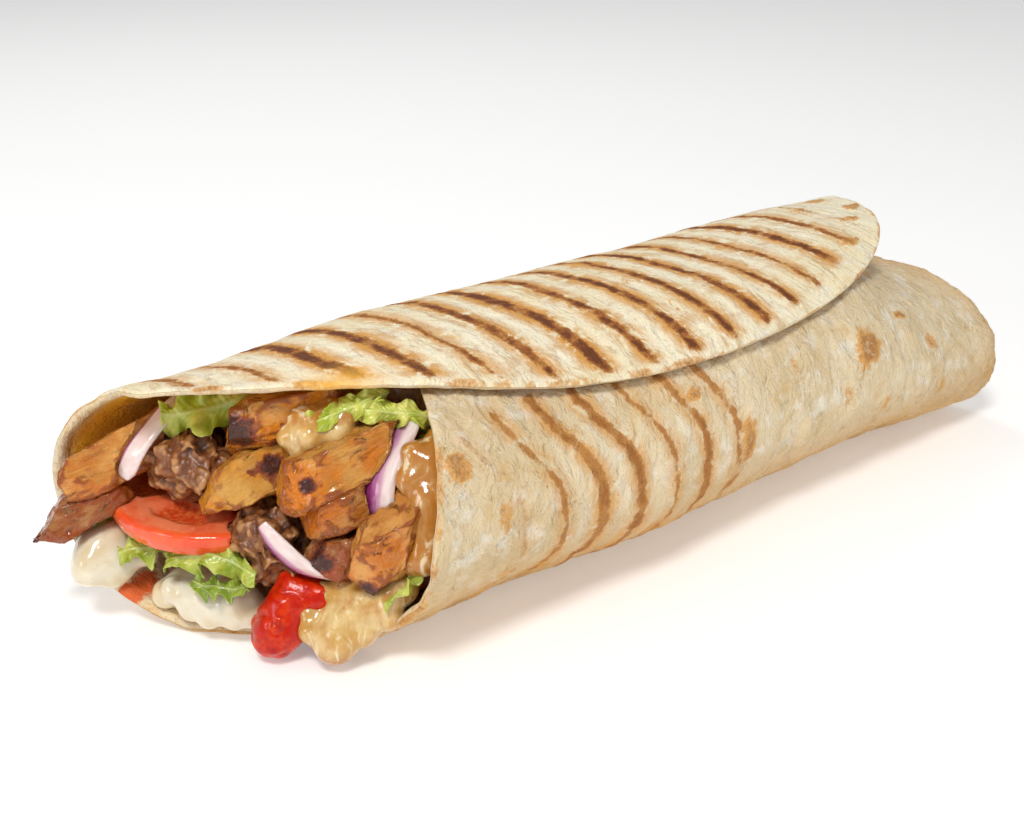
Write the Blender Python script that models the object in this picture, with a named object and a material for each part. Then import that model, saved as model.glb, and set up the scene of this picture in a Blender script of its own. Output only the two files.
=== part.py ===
"""Chicken durum wrap: a round flatbread rolled round strips of chicken, meat, salad and sauce.

Metres, +Z up. The wrap lies along X with its open mouth at -X and its folded end at +X.
The origin is the centre of the flat spot that it rests on, below the centre of the bread's disc.
"""
import math

import bmesh
import bpy
import numpy as np
from mathutils import Vector, noise

MM = 0.001
GAP = 0.3 * MM

# The flatbread: a disc rolled up from its free edge, the flap, which ends as a pole of the disc
DISC_RADIUS = 150 * MM
BREAD_THICK = 2.2 * MM
LAYER_GAP = 0.8 * MM
HALF_WIDTH = 40 * MM
HEIGHT = 55 * MM
MIDDLE_Y = 1.5 * MM
SQUARENESS = 2.4
SQUARENESS_BELOW_MOUTH = 1.6
SQUARENESS_BELOW_END = 2.3
ROUNDER_FROM_X = -95 * MM
ROUNDER_LENGTH = 175 * MM
FLAT_SINK = 0.5 * MM
SAG_AT_MOUTH = 2.2 * MM
SAG_AT_END = 1.0 * MM
SAG_HEIGHT = 15 * MM

# Angles round the section: 0 is the back, 90 the top, 180 the front and 270 the bottom
FLAP_TIP_ANGLE = 142.0
INNER_END_ANGLE = -330.0
LAP_START_ANGLE = -150.0
LAP_FULL_ANGLE = -215.0

# The mouth's edge: where it lies as the bread goes back from the flap, down, under and up the front
MOUTH_REACH = 116.5 * MM
MOUTH_LIP = 34.5 * MM
MOUTH_LIP_START = 103 * MM
MOUTH_LIP_END = 168 * MM
MOUTH_RISE = 14 * MM
MOUTH_RISE_START = 195 * MM
MOUTH_RISE_LENGTH = 37 * MM
MOUTH_RISE_POWER = 1.3
FLAP_CORNER_X = -110 * MM
FLAP_EDGE_END = 60 * MM
ROLL_EDGE_START = 88 * MM

# The folded end, where the bread under the flap turns in to a slit and the flap stands over it
FOLD_START = 57 * MM
FOLD_FULL = 80 * MM
SINK_START = 45 * MM
SINK_FULL = 95 * MM
FLAP_FAR_X = 99.2 * MM
FLAP_FAR_DISTANCE = 62 * MM
END_X = 111 * MM
END_ROUND = 7 * MM
END_DROP = 14 * MM
END_DROP_START = 49 * MM
FLAP_OVERHANG = 22 * MM
SLIT_HALF_LENGTH = 10 * MM
SLIT_HALF_HEIGHT = 1.8 * MM
SLIT_TUCK = 7 * MM
CAP_HOLLOW = 2.5 * MM
PLEATS = 6
PLEAT_DEPTH = 1.0 * MM

# Lumps of the filling under the bread, which die out where the wrap rests
BULGE = 1.0 * MM
BULGE_CLEAR = 9 * MM

# The bread's grid: rows back from the flap's tip, columns from the mouth to the end
ROW_SPACING = 6.2 * MM
POLE_STEP = 7.0
POLE_END = 50.0
COLUMNS = 22
BODY_COLUMNS = 0.7
FLAP_BODY_SHARE = 0.83

# The sloping face of the filling in the mouth: x = FACE_X - FACE_SIDE * y + FACE_LEAN * z
FACE_X = -100 * MM
FACE_SIDE = 0.47
FACE_LEAN = 0.33
CORE_DEPTH = 18 * MM
CORE_FRONT_X = -60 * MM
CORE_END_X = 100 * MM
CORE_CLEAR = 1.6 * MM
CORE_SIDES = 28
CORE_STATIONS = 14
CORE_TAPER = 0.25
CORE_TAPER_FROM = 0.92

MEAT_CRUMB = 3.8 * MM
MEAT_FACES = 620
SAUCE_VOXEL = 0.9 * MM
SAUCE_FACES = 220

# Places and sizes below are in millimetres
CHICKEN = (
    # name, points from the end that shows inwards, height, depth, share of the length that tapers
    ("chicken_1", ((-118, 32, 30.5), (-109, 29.5, 34), (-97, 26, 38), (-86, 21, 41)), 8.5, 7.5, 0.20),
    ("chicken_2", ((-125, 35, 19.5), (-116, 31, 25), (-107, 29, 28)), 8.0, 7.0, 0.75),
    ("chicken_3", ((-94.5, 9, 40), (-88, 5, 43.5), (-79, 2, 45.5), (-69, 3, 45.5)), 9.5, 8.0, 0.22),
    ("chicken_4", ((-100, 11, 28.5), (-95, 7.5, 32.5), (-86, 5, 36), (-79, 7, 34)), 8.5, 7.5, 0.35),
    ("chicken_5", ((-92, -3.5, 32), (-83, -9, 37.5), (-74, -12, 40.5), (-66, -9, 39)), 8.5, 8.0, 0.16),
    ("chicken_6", ((-89, -7.5, 27.5), (-83, -12, 30), (-77, -14, 31.5), (-69, -11, 31)), 7.8, 7.5, 0.14),
    ("chicken_7", ((-91, -10, 19), (-85, -12, 21), (-80, -13, 22), (-73, -10, 20)), 8.0, 7.5, 0.30),
    ("chicken_8", ((-86, -21, 19), (-82, -22, 24), (-77, -21, 28), (-70, -17, 28)), 9.0, 8.0, 0.25),
)
MEAT = (
    # name, centre, radii along X, Y and Z
    ("meat_1", (-97, 19.5, 33), (8.6, 9.4, 8.0)),
    ("meat_2", (-91, 3, 19.5), (8.4, 9.0, 8.8)),
)
ONION = (
    # name, points along the piece, height, depth
    ("onion_1", ((-95, 25, 45), (-101.5, 24, 41), (-106.5, 24, 36.5), (-109, 25.5, 31)), 4.8, 1.8),
    ("onion_2", ((-95.5, -2, 27), (-93.5, -6.5, 22), (-91, -10, 19), (-85, -14, 16.5)), 5.0, 1.9),
    ("onion_3", ((-69, -15, 44.5), (-75, -15.5, 39.5), (-79, -17, 33.5), (-79, -18.5, 28)), 6.5, 2.6),
)
# How the strips are made: material, direction of their height, sides, stations, squareness, unevenness
CHICKEN_KIND = ("chicken", (0.25, 0.12, 0.96), 10, 10, 3.6, 0.3)
ONION_KIND = ("onion", (0.43, -0.90, 0.05), 8, 12, 2.4, 0.05)

TOMATO_CENTRE = (-91, 22.5, 20.6)
TOMATO_RADIUS = 21.0
TOMATO_THICK = 4.8
TOMATO_TILT = 4.0

SAUCE = (
    # name, balls as x, y, z, radius
    ("white_sauce_1", ((-111, 29, 17, 4.6), (-114.5, 29.5, 15.5, 5.0), (-116.5, 28, 13.5, 4.8),
                       (-112, 26.5, 13, 4.6)), "white_sauce"),
    ("white_sauce_2", ((-103, 17, 8.5, 4.6), (-103, 12, 7.8, 5.0), (-101, 7, 7.6, 4.9),
                       (-97.5, 3, 7.8, 4.8), (-99, 16, 9, 4.8), (-96.5, 10, 8.5, 5.2)), "white_sauce"),
    ("red_sauce", ((-91, -5, 13, 4.4), (-93.5, -6, 10, 5.2), (-95.5, -6.5, 7, 5.4), (-97, -6, 5, 4.8),
                   (-89, -10, 12, 4.0)), "red_sauce"),
    ("cheese_1", ((-84, 0, 44.5, 4.0), (-84.5, -4, 42.5, 4.0), (-78, -5, 45, 4.2),
                  (-86, -1, 39, 3.0)), "cheese"),
    ("cheese_2", ((-70, -21, 38, 4.8), (-72, -23, 33, 5.0), (-74, -24.5, 28, 5.0), (-76, -26, 23, 4.6),
                  (-66, -20, 41, 4.2)), "cheese"),
    ("cheese_3", ((-86, -13, 11.5, 4.6), (-84.5, -17, 12, 5.2), (-87.5, -16.5, 8.5, 5.4),
                  (-90, -16, 6, 5.2), (-79, -22.5, 16, 4.4), (-82.5, -20, 13, 4.6)), "cheese"),
)
LETTUCE = (
    # name, points along the leaf, direction across it, width, height of the frills
    ("lettuce_1", ((-101, 23, 43), (-96, 18, 43.5), (-91, 14, 45.5), (-84, 12, 47)),
     (-0.35, -0.55, -0.75), 9, 1.6),
    ("lettuce_2", ((-87, -3, 44), (-80, -7, 47), (-75, -9.5, 49), (-70, -9, 49)),
     (-0.3, -0.5, -0.8), 5, 1.1),
    ("lettuce_3", ((-78, -9, 47.5), (-72, -13, 46.5), (-65, -17, 45)), (-0.3, -0.45, -0.85), 4.5, 0.9),
    ("lettuce_4", ((-113, 23, 17), (-108, 19.5, 18), (-101, 14, 17.5)), (-0.4, -0.75, -0.5), 6, 0.8),
    ("lettuce_5", ((-107.5, 13.5, 17), (-104, 8, 19.5), (-100.5, 1.5, 19.3), (-98.5, -3.5, 17.5)),
     (-0.5, -0.6, -0.65), 6, 1.3),
    ("lettuce_6", ((-106, 7, 14.5), (-103.5, 1.5, 14.8), (-99.5, -3.5, 15.2)), (-0.75, -0.5, -0.35), 4.5, 0.9),
    ("lettuce_7", ((-75, -21, 24), (-78, -26, 20), (-84, -26, 16)), (-0.3, 0.6, -0.7), 5, 0.7),
    ("lettuce_8", ((-113, 33, 23), (-110, 31, 20.5), (-105, 26, 18)), (-0.45, -0.6, -0.65), 6, 0.7),
    ("lettuce_9", ((-63, -13, 43), (-66, -17, 40), (-68, -20, 36)), (-0.5, 0.6, -0.5), 6, 1.0),
)

COLOURS = {
    "bread": ((0.82, 0.69, 0.47), 0.75),
    "filling": ((0.33, 0.15, 0.06), 0.6),
    "chicken": ((0.62, 0.30, 0.09), 0.45),
    "meat": ((0.14, 0.075, 0.045), 0.5),
    "tomato": ((0.70, 0.08, 0.025), 0.25),
    "onion": ((0.75, 0.55, 0.62), 0.3),
    "white_sauce": ((0.86, 0.82, 0.70), 0.2),
    "red_sauce": ((0.55, 0.03, 0.008), 0.15),
    "cheese": ((0.80, 0.58, 0.24), 0.25),
    "lettuce": ((0.35, 0.55, 0.10), 0.4),
}


def clear_scene():
    for obj in list(bpy.data.objects):
        bpy.data.objects.remove(obj, do_unlink=True)


def material(name):
    found = bpy.data.materials.get(name)
    if found:
        return found
    colour, roughness = COLOURS[name]
    made = bpy.data.materials.new(name)
    made.use_nodes = True
    shader = made.node_tree.nodes["Principled BSDF"]
    shader.inputs["Base Color"].default_value = (*colour, 1.0)
    shader.inputs["Roughness"].default_value = roughness
    shader.inputs["Metallic"].default_value = 0.0
    return made


def add_object(name, mesh, material_name):
    obj = bpy.data.objects.new(name, mesh)
    bpy.context.scene.collection.objects.link(obj)
    mesh.materials.clear()
    mesh.materials.append(material(material_name))
    mesh.shade_smooth()
    mesh.set_sharp_from_angle(angle=math.radians(50))
    return obj


def mesh_from(name, verts, faces):
    mesh = bpy.data.meshes.new(name)
    mesh.from_pydata([tuple(v) for v in verts], [], faces)
    bm = bmesh.new()
    bm.from_mesh(mesh)
    bmesh.ops.recalc_face_normals(bm, faces=bm.faces)
    bmesh.ops.triangulate(bm, faces=bm.faces)
    bm.to_mesh(mesh)
    bm.free()
    return mesh


def smoothstep(low, high, value):
    k = np.clip((value - low) / (high - low), 0.0, 1.0)
    return k * k * (3 - 2 * k)


def mix(first, second, k):
    return first + (second - first) * k


def power_wave(value, squareness):
    return np.sign(value) * np.abs(value) ** (2 / squareness)


def section(angle, half_width, height, x=0.0):
    """Y and Z of the rounded section at an angle in degrees, rounder below near the mouth."""
    turn = np.radians(angle)
    along = np.clip((x - ROUNDER_FROM_X) / ROUNDER_LENGTH, 0, 1)
    below = mix(SQUARENESS_BELOW_MOUTH, SQUARENESS_BELOW_END, along)
    squareness = np.where(np.sin(turn) < 0, below, SQUARENESS)
    y = MIDDLE_Y + half_width * power_wave(np.cos(turn), squareness)
    z = height / 2 + height / 2 * power_wave(np.sin(turn), squareness)
    return y, z


def angle_at(distance):
    """Angle round the section at a distance from the flap's tip, measured back along the bread."""
    angles = np.arange(FLAP_TIP_ANGLE, INNER_END_ANGLE - 1, -1.0)
    y, z = section(angles, HALF_WIDTH, HEIGHT)
    steps = np.hypot(np.diff(y), np.diff(z))
    travelled = np.concatenate(([0.0], np.cumsum(steps)))
    return np.interp(distance, travelled, angles), travelled[-1]


def disc_half_width(distance):
    reach = np.clip(DISC_RADIUS - distance, 0.0, DISC_RADIUS)
    return np.sqrt(DISC_RADIUS ** 2 - reach ** 2)


def mouth_edge(distance):
    """X of the mouth's edge: the disc's own arc on the flap, then the slanting edge of the roll."""
    arc = np.maximum(-disc_half_width(distance), FLAP_CORNER_X)
    rise = np.clip(distance - MOUTH_RISE_START, 0.0, None) / MOUTH_RISE_LENGTH
    lip = MOUTH_LIP * smoothstep(MOUTH_LIP_START, MOUTH_LIP_END, distance)
    roll = -MOUTH_REACH + lip + MOUTH_RISE * rise ** MOUTH_RISE_POWER
    return mix(arc, roll, smoothstep(FLAP_EDGE_END, ROLL_EDGE_START, distance))


def filling_bulge(angle, x):
    """Soft lumps where the filling presses on the bread from inside, the same in every layer."""
    turn = np.radians(angle)
    waves = np.sin(2 * turn + 38 * x + 0.6) + 0.8 * np.sin(3 * turn - 61 * x + 2.1)
    return BULGE * (waves + 0.6 * np.sin(97 * x + turn)) / 2


def bread_base(distance, share):
    """The bread's middle surface: rows back from the flap's tip, columns from mouth to folded end."""
    angle, _ = angle_at(distance)
    start = mouth_edge(distance)
    folded = smoothstep(FOLD_START, FOLD_FULL, distance)
    sunk = smoothstep(SINK_START, SINK_FULL, distance)
    turn_x = END_X - END_ROUND
    end_y, end_z = section(angle, HALF_WIDTH, HEIGHT - END_DROP, END_X)
    turn = np.radians(angle)
    slit_y = MIDDLE_Y + SLIT_HALF_LENGTH * np.cos(turn)
    slit_z = (HEIGHT - END_DROP) / 2 + SLIT_HALF_HEIGHT * np.sin(turn)
    inward = np.hypot(end_y - slit_y, end_z - slit_z)
    arc_length = END_ROUND * math.pi / 2
    cap_length = arc_length + inward - END_ROUND + SLIT_TUCK
    round_off = np.sqrt(np.clip(distance / FLAP_FAR_DISTANCE, 0, 1))
    flap_end = FLAP_FAR_X * round_off * (2 - round_off)
    straight = mix(flap_end - start, turn_x - start + cap_length, folded)
    straight = np.maximum(straight, 1e-9)
    body_share = mix(FLAP_BODY_SHARE, (turn_x - start) / straight, folded)
    cap_share = body_share + (share - BODY_COLUMNS) / (1 - BODY_COLUMNS) * (1 - body_share)
    path = np.where(share < BODY_COLUMNS, share / BODY_COLUMNS * body_share, cap_share)
    flat_x = start + path * straight
    past = np.clip(flat_x - turn_x, 0.0, None)
    bend = np.clip(past / arc_length, 0.0, 1.0) * math.pi / 2
    along = np.clip(past - arc_length, 0.0, inward - END_ROUND)
    tuck = np.clip(past - arc_length - inward + END_ROUND, 0.0, None)
    moved_in = END_ROUND * (1 - np.cos(bend)) + along
    across_cap = np.clip(along / (inward - END_ROUND), 0, 1)
    pleat = PLEAT_DEPTH * np.sin(PLEATS * turn + 0.7) * np.sin(math.pi * across_cap)
    cap_x = turn_x + END_ROUND * np.sin(bend) - CAP_HOLLOW * smoothstep(0, 1, across_cap) - tuck + pleat
    rolled_x = np.where(past > 0, cap_x, flat_x)
    overhang = FLAP_OVERHANG * (1 - np.exp(-past / FLAP_OVERHANG))
    flap_x = np.where(past > 0, turn_x + overhang, flat_x)
    x = mix(flap_x, rolled_x, folded)
    drop = END_DROP * smoothstep(END_DROP_START, turn_x, x) * sunk
    y, z = section(angle, HALF_WIDTH, HEIGHT - drop, x)
    bulge = filling_bulge(angle, np.minimum(x, turn_x)) * (1 - smoothstep(0, arc_length, past))
    bulge = bulge * smoothstep(FLAT_SINK, BULGE_CLEAR, z)
    y = y + bulge * np.cos(turn)
    z = z + bulge * np.sin(turn)
    share_in = moved_in / inward * folded
    y = mix(y, slit_y, share_in)
    z = mix(z, slit_z, share_in)
    sag = mix(SAG_AT_MOUTH, SAG_AT_END, np.clip((x - ROUNDER_FROM_X) / ROUNDER_LENGTH, 0, 1))
    z = np.maximum(z - FLAT_SINK - sag * (1 - smoothstep(0, SAG_HEIGHT, z)), 0.0)
    return np.stack([x, y, z], axis=-1)


def grid_normals(points):
    """Outward normals of a grid of points, with the first row taken from the second."""
    rows = np.gradient(points, axis=0)
    cols = np.gradient(points, axis=1)
    normal = np.cross(cols, rows)
    length = np.linalg.norm(normal, axis=-1, keepdims=True)
    normal = normal / np.maximum(length, 1e-12)
    normal[0] = normal[1]
    return normal


def bread_rows():
    """Distances of the rows back from the flap's tip, close together where the disc's pole is."""
    _, total = angle_at(0.0)
    pole = DISC_RADIUS * (1 - np.cos(np.radians(np.arange(0, POLE_END, POLE_STEP))))
    count = round((total - pole[-1]) / ROW_SPACING)
    rest = np.linspace(pole[-1], total, count + 1)[1:]
    return np.concatenate((pole, rest))


def build_bread():
    distance = bread_rows()[:, None]
    share = np.linspace(0, 1, COLUMNS)[None, :]
    base = bread_base(distance, share)
    normal = grid_normals(base)
    angle, _ = angle_at(distance)
    lap = smoothstep(-LAP_START_ANGLE, -LAP_FULL_ANGLE, -angle)
    outer = base - normal * ((BREAD_THICK + LAYER_GAP) * lap)[..., None]
    inner = outer - normal * BREAD_THICK
    rows, cols = outer.shape[:2]
    verts = [outer[0, 0], inner[0, 0]]
    verts += [p for row in outer[1:] for p in row]
    verts += [p for row in inner[1:] for p in row]
    per_side = (rows - 1) * cols

    def at(side, row, col):
        if row == 0:
            return side
        return 2 + side * per_side + (row - 1) * cols + col

    faces = []
    for row in range(rows - 1):
        for col in range(cols - 1):
            for side in (0, 1):
                ring = [at(side, row, col), at(side, row, col + 1)]
                ring += [at(side, row + 1, col + 1), at(side, row + 1, col)]
                ring = ring[::-1] if side else ring
                faces.append(list(dict.fromkeys(ring)))
        for col in (0, cols - 1):
            wall = [at(0, row, col), at(0, row + 1, col), at(1, row + 1, col), at(1, row, col)]
            faces.append(list(dict.fromkeys(wall)))
    last = rows - 1
    for col in range(cols - 1):
        faces.append([at(0, last, col), at(0, last, col + 1), at(1, last, col + 1), at(1, last, col)])
    return add_object("flatbread", mesh_from("flatbread", verts, faces), "bread")


def loft(name, rings, material_name):
    """A closed solid through rings of points, with a point in the middle of each end."""
    count = len(rings[0])
    verts = [p for ring in rings for p in ring]
    faces = []
    for k in range(len(rings) - 1):
        for j in range(count):
            nxt = (j + 1) % count
            faces.append([k * count + j, k * count + nxt, (k + 1) * count + nxt, (k + 1) * count + j])
    for k, middle in ((0, len(verts)), (len(rings) - 1, len(verts) + 1)):
        verts.append(np.mean(rings[k], axis=0))
        for j in range(count):
            faces.append([k * count + j, k * count + (j + 1) % count, middle])
    return add_object(name, mesh_from(name, verts, faces), material_name)


def build_core():
    """The packed filling that runs through the roll behind the pieces that show in the mouth."""
    angles = np.linspace(0, 360, CORE_SIDES, endpoint=False)
    under_flap = smoothstep(5, 25, angles) * (1 - smoothstep(215, 245, angles))
    inset = BREAD_THICK + CORE_CLEAR + (BREAD_THICK + LAYER_GAP) * under_flap
    rings = []
    for share in np.linspace(0, 1, CORE_STATIONS):
        x_far = mix(CORE_FRONT_X, CORE_END_X, share)
        drop = END_DROP * smoothstep(END_DROP_START, END_X - END_ROUND, x_far)
        taper = 1 - CORE_TAPER * smoothstep(CORE_TAPER_FROM, 1.0, share)
        y, z = section(angles, (HALF_WIDTH - inset) * taper, HEIGHT - drop - 2 * inset, x_far)
        z = (z - (HEIGHT - drop) / 2 + inset) * taper + (HEIGHT - drop) / 2
        face = FACE_X + CORE_DEPTH - FACE_SIDE * y + FACE_LEAN * z
        x = mix(face, CORE_END_X, share)
        rings.append(np.stack([x, y, z], axis=-1))
    return loft("filling", rings, "filling")


def path_points(points, count):
    """Evenly spaced points on a smooth curve through a few points."""
    knots = np.array(points, float) * MM
    spans = np.concatenate(([0.0], np.cumsum(np.linalg.norm(np.diff(knots, axis=0), axis=1))))
    slopes = np.gradient(knots, spans, axis=0)
    where = np.linspace(0, spans[-1], count)
    k = np.clip(np.searchsorted(spans, where, side="right") - 1, 0, len(spans) - 2)
    width = (spans[k + 1] - spans[k])[:, None]
    t = ((where - spans[k])[:, None]) / width
    return ((2 * t ** 3 - 3 * t ** 2 + 1) * knots[k] + (t ** 3 - 2 * t ** 2 + t) * width * slopes[k]
            + (3 * t ** 2 - 2 * t ** 3) * knots[k + 1] + (t ** 3 - t ** 2) * width * slopes[k + 1])


def path_frames(points, upright):
    """Along, up and side directions at each point of a path."""
    along = np.gradient(points, axis=0)
    along /= np.linalg.norm(along, axis=1, keepdims=True)
    up = upright - along * (along @ upright)[:, None]
    up /= np.linalg.norm(up, axis=1, keepdims=True)
    return along, up, np.cross(along, up)


def wobble(point, size, seed):
    """A small seeded unevenness at a point, between -1 and 1."""
    return noise.noise(Vector(point) / size + Vector((seed * 7.3, seed * 3.1, seed * 1.7)))


def build_strip(name, points, height, depth, taper, seed, kind):
    """A strip of food along a path, blunt or tapered at the end that shows."""
    material_name, upright, sides, stations, squareness, rough = kind
    spine = path_points(points, stations)
    _, up, side = path_frames(spine, np.array(upright))
    turns = np.linspace(0, 2 * math.pi, sides, endpoint=False)
    rings = []
    for k in range(stations):
        share = k / (stations - 1)
        head = math.sqrt(min(1.0, 0.3 + share / taper))
        tail = math.sqrt(min(1.0, 0.3 + (1 - share) / 0.15))
        size = min(head, tail)
        ring = []
        for turn in turns:
            c, s = math.cos(turn), math.sin(turn)
            a = math.copysign(abs(c) ** (2 / squareness), c) * height / 2 * MM
            b = math.copysign(abs(s) ** (2 / squareness), s) * depth / 2 * MM
            point = spine[k] + size * (a * up[k] + b * side[k])
            push = 1 + rough * wobble(point, 4 * MM, seed)
            ring.append(spine[k] + (point - spine[k]) * push)
        rings.append(np.array(ring))
    return loft(name, rings, material_name)


def build_meat(name, centre, radii, seed):
    """A chunk of browned ground meat with crags between its crumbs."""
    bm = bmesh.new()
    bmesh.ops.create_icosphere(bm, subdivisions=3, radius=1.0)
    for v in bm.verts:
        place = Vector((v.co.x * radii[0], v.co.y * radii[1], v.co.z * radii[2])) * MM
        cells, _ = noise.voronoi(place / MEAT_CRUMB + Vector((seed, seed * 2.0, 0.0)))
        crumb = 0.22 - 0.55 * cells[0] + 0.15 * wobble(place, 5 * MM, seed)
        v.co = place * (1 + crumb) + Vector(centre) * MM
    mesh = bpy.data.meshes.new(name)
    bm.to_mesh(mesh)
    bm.free()
    obj = add_object(name, mesh, "meat")
    decimate(obj, MEAT_FACES)
    return obj


def build_tomato():
    """A round slice lying in the mouth, with hollows between its walls."""
    sectors = 30
    levels = (0.0, 0.36, 0.44, 0.72, 0.80, 0.94, 1.0)
    tilt = math.radians(TOMATO_TILT)
    lean = Vector((0, -math.sin(tilt), math.cos(tilt)))
    verts = []
    rows = []

    def place(r, turn, z):
        x = r * math.cos(turn)
        y = r * math.sin(turn)
        flat = Vector((x, y * math.cos(tilt), y * math.sin(tilt)))
        verts.append((Vector(TOMATO_CENTRE) + flat + lean * z) * MM)
        return len(verts) - 1

    def depth(level, turn):
        pocket = 0.5 + 0.5 * math.cos(5 * turn + 0.4)
        hollow = (pocket > 0.32) and 0.40 < level < 0.76
        return 1.3 if hollow else 0.0

    for level in levels:
        z_round = TOMATO_THICK * (0.94 if level == 1.0 else 1.0)
        rows.append([place(TOMATO_RADIUS * level, 2 * math.pi * k / sectors,
                           z_round - depth(level, 2 * math.pi * k / sectors))
                     for k in range(sectors if level else 1)])
    for level, z_side in ((1.01, TOMATO_THICK / 2), (0.97, 0.0)):
        rows.append([place(TOMATO_RADIUS * level, 2 * math.pi * k / sectors, z_side)
                     for k in range(sectors)])
    rows.append([place(0.0, 0.0, 0.0)])
    faces = []
    for first, second in zip(rows, rows[1:]):
        for k in range(sectors):
            a, b = first[k % len(first)], first[(k + 1) % len(first)]
            c, d = second[(k + 1) % len(second)], second[k % len(second)]
            faces.append(list(dict.fromkeys([a, b, c, d])))
    return add_object("tomato", mesh_from("tomato", verts, faces), "tomato")


def build_lettuce(name, points, across, width, frill, seed, stations=11, steps=5, thick=0.9):
    """A thin wavy shred of leaf, with the same triangles on both faces."""
    spine = path_points(points, stations)
    along, _, _ = path_frames(spine, np.array([0.0, 0.0, 1.0]))
    across = np.array(across) / np.linalg.norm(across)
    upper = np.zeros((stations, steps, 3))
    for k in range(stations):
        normal = np.cross(along[k], across)
        normal /= np.linalg.norm(normal)
        narrow = 0.45 + 0.55 * math.sin(math.pi * (0.08 + 0.84 * k / (stations - 1))) ** 0.6
        for j in range(steps):
            v = j / (steps - 1) - 0.5
            sway = 0.16 * math.sin(1.9 * k + 2.3 * seed)
            wave = math.sin(1.35 * k + seed) * abs(v + 0.15) * 2.2
            cup = 1.2 * (v * v - 0.1)
            place = spine[k] + across * (v + sway * abs(v) * 2) * width * narrow * MM
            upper[k, j] = place + normal * (frill * (wave + cup)) * MM
    shift = grid_normals(upper) * thick / 2 * MM
    top, bottom = upper + shift, upper - shift
    verts = list(top.reshape(-1, 3)) + list(bottom.reshape(-1, 3))
    half = stations * steps
    faces = []
    for k in range(stations - 1):
        for j in range(steps - 1):
            a, b = k * steps + j, k * steps + j + 1
            c, d = a + steps, b + steps
            faces += [[a, b, d], [a, d, c], [half + a, half + d, half + b], [half + a, half + c, half + d]]
    rim = [k * steps for k in range(stations)]
    rim += [(stations - 1) * steps + j for j in range(1, steps)]
    rim += [k * steps + steps - 1 for k in range(stations - 2, -1, -1)]
    rim += [j for j in range(steps - 2, 0, -1)]
    for a, b in zip(rim, rim[1:] + rim[:1]):
        faces += [[a, b, half + b], [a, half + b, half + a]]
    return add_object(name, mesh_from(name, verts, faces), "lettuce")


def bake(obj):
    """Replace an object's mesh by the one that its modifiers make."""
    graph = bpy.context.evaluated_depsgraph_get()
    graph.update()
    mesh = bpy.data.meshes.new_from_object(obj.evaluated_get(graph))
    obj.modifiers.clear()
    obj.data = mesh


def decimate(obj, target):
    faces = len(obj.data.polygons)
    if faces > target:
        shrink = obj.modifiers.new("fewer", "DECIMATE")
        shrink.ratio = target / faces
        shrink.use_collapse_triangulate = True
        bake(obj)


def build_sauce(name, balls, material_name):
    """Thick sauce or melted cheese: balls run together and smoothed."""
    bm = bmesh.new()
    for x, y, z, radius in balls:
        made = bmesh.ops.create_icosphere(bm, subdivisions=3, radius=radius * MM)
        bmesh.ops.translate(bm, verts=made["verts"], vec=Vector((x, y, z)) * MM)
    mesh = bpy.data.meshes.new(name)
    bm.to_mesh(mesh)
    bm.free()
    obj = add_object(name, mesh, material_name)
    joined = obj.modifiers.new("joined", "REMESH")
    joined.mode = "VOXEL"
    joined.voxel_size = SAUCE_VOXEL
    soft = obj.modifiers.new("soft", "SMOOTH")
    soft.factor = 0.6
    soft.iterations = 22
    bake(obj)
    for v in obj.data.vertices:
        v.co.z = max(v.co.z, GAP)
    decimate(obj, SAUCE_FACES)
    return obj


def grown_copy(obj):
    """A copy a little larger than the object, to cut its neighbours clear of it."""
    mesh = obj.data.copy()
    normals = [v.normal.copy() for v in mesh.vertices]
    for v, normal in zip(mesh.vertices, normals):
        v.co += normal * GAP * 1.1
    cutter = bpy.data.objects.new(obj.name + ".cutter", mesh)
    cutter.hide_render = True
    cutter.display_type = "WIRE"
    bpy.context.scene.collection.objects.link(cutter)
    return cutter


def box_of(obj):
    points = np.array([v.co for v in obj.data.vertices])
    return points.min(axis=0), points.max(axis=0)


def boxes_meet(first, second):
    low_a, high_a = box_of(first)
    low_b, high_b = box_of(second)
    return bool(np.all(low_a < high_b) and np.all(low_b < high_a))


def cut_away(obj, cutter):
    cut = obj.modifiers.new("cut", "BOOLEAN")
    cut.operation = "DIFFERENCE"
    cut.solver = "EXACT"
    cut.object = cutter
    bake(obj)


def body_volume(faces):
    total = 0.0
    for face in faces:
        corners = [v.co for v in face.verts]
        for k in range(1, len(corners) - 1):
            total += corners[0].dot(corners[k].cross(corners[k + 1]))
    return abs(total)


def keep_largest_body(obj, flatten):
    """Drop the loose scraps that a cut leaves, and tidy the faces."""
    bm = bmesh.new()
    bm.from_mesh(obj.data)
    bmesh.ops.remove_doubles(bm, verts=bm.verts, dist=0.00002)
    bmesh.ops.dissolve_degenerate(bm, edges=bm.edges, dist=0.00001)
    if flatten:
        bmesh.ops.dissolve_limit(bm, angle_limit=flatten, verts=bm.verts, edges=bm.edges)
    bmesh.ops.triangulate(bm, faces=bm.faces)
    left = set(bm.faces)
    bodies = []
    while left:
        stack = [left.pop()]
        body = []
        while stack:
            face = stack.pop()
            body.append(face)
            for edge in face.edges:
                for other in edge.link_faces:
                    if other in left:
                        left.remove(other)
                        stack.append(other)
        bodies.append(body)
    bodies.sort(key=body_volume)
    scraps = [face for body in bodies[:-1] for face in body]
    if scraps:
        bmesh.ops.delete(bm, geom=scraps, context="FACES")
    loose = [v for v in bm.verts if not v.link_faces]
    bmesh.ops.delete(bm, geom=loose, context="VERTS")
    bm.to_mesh(obj.data)
    bm.free()


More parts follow.
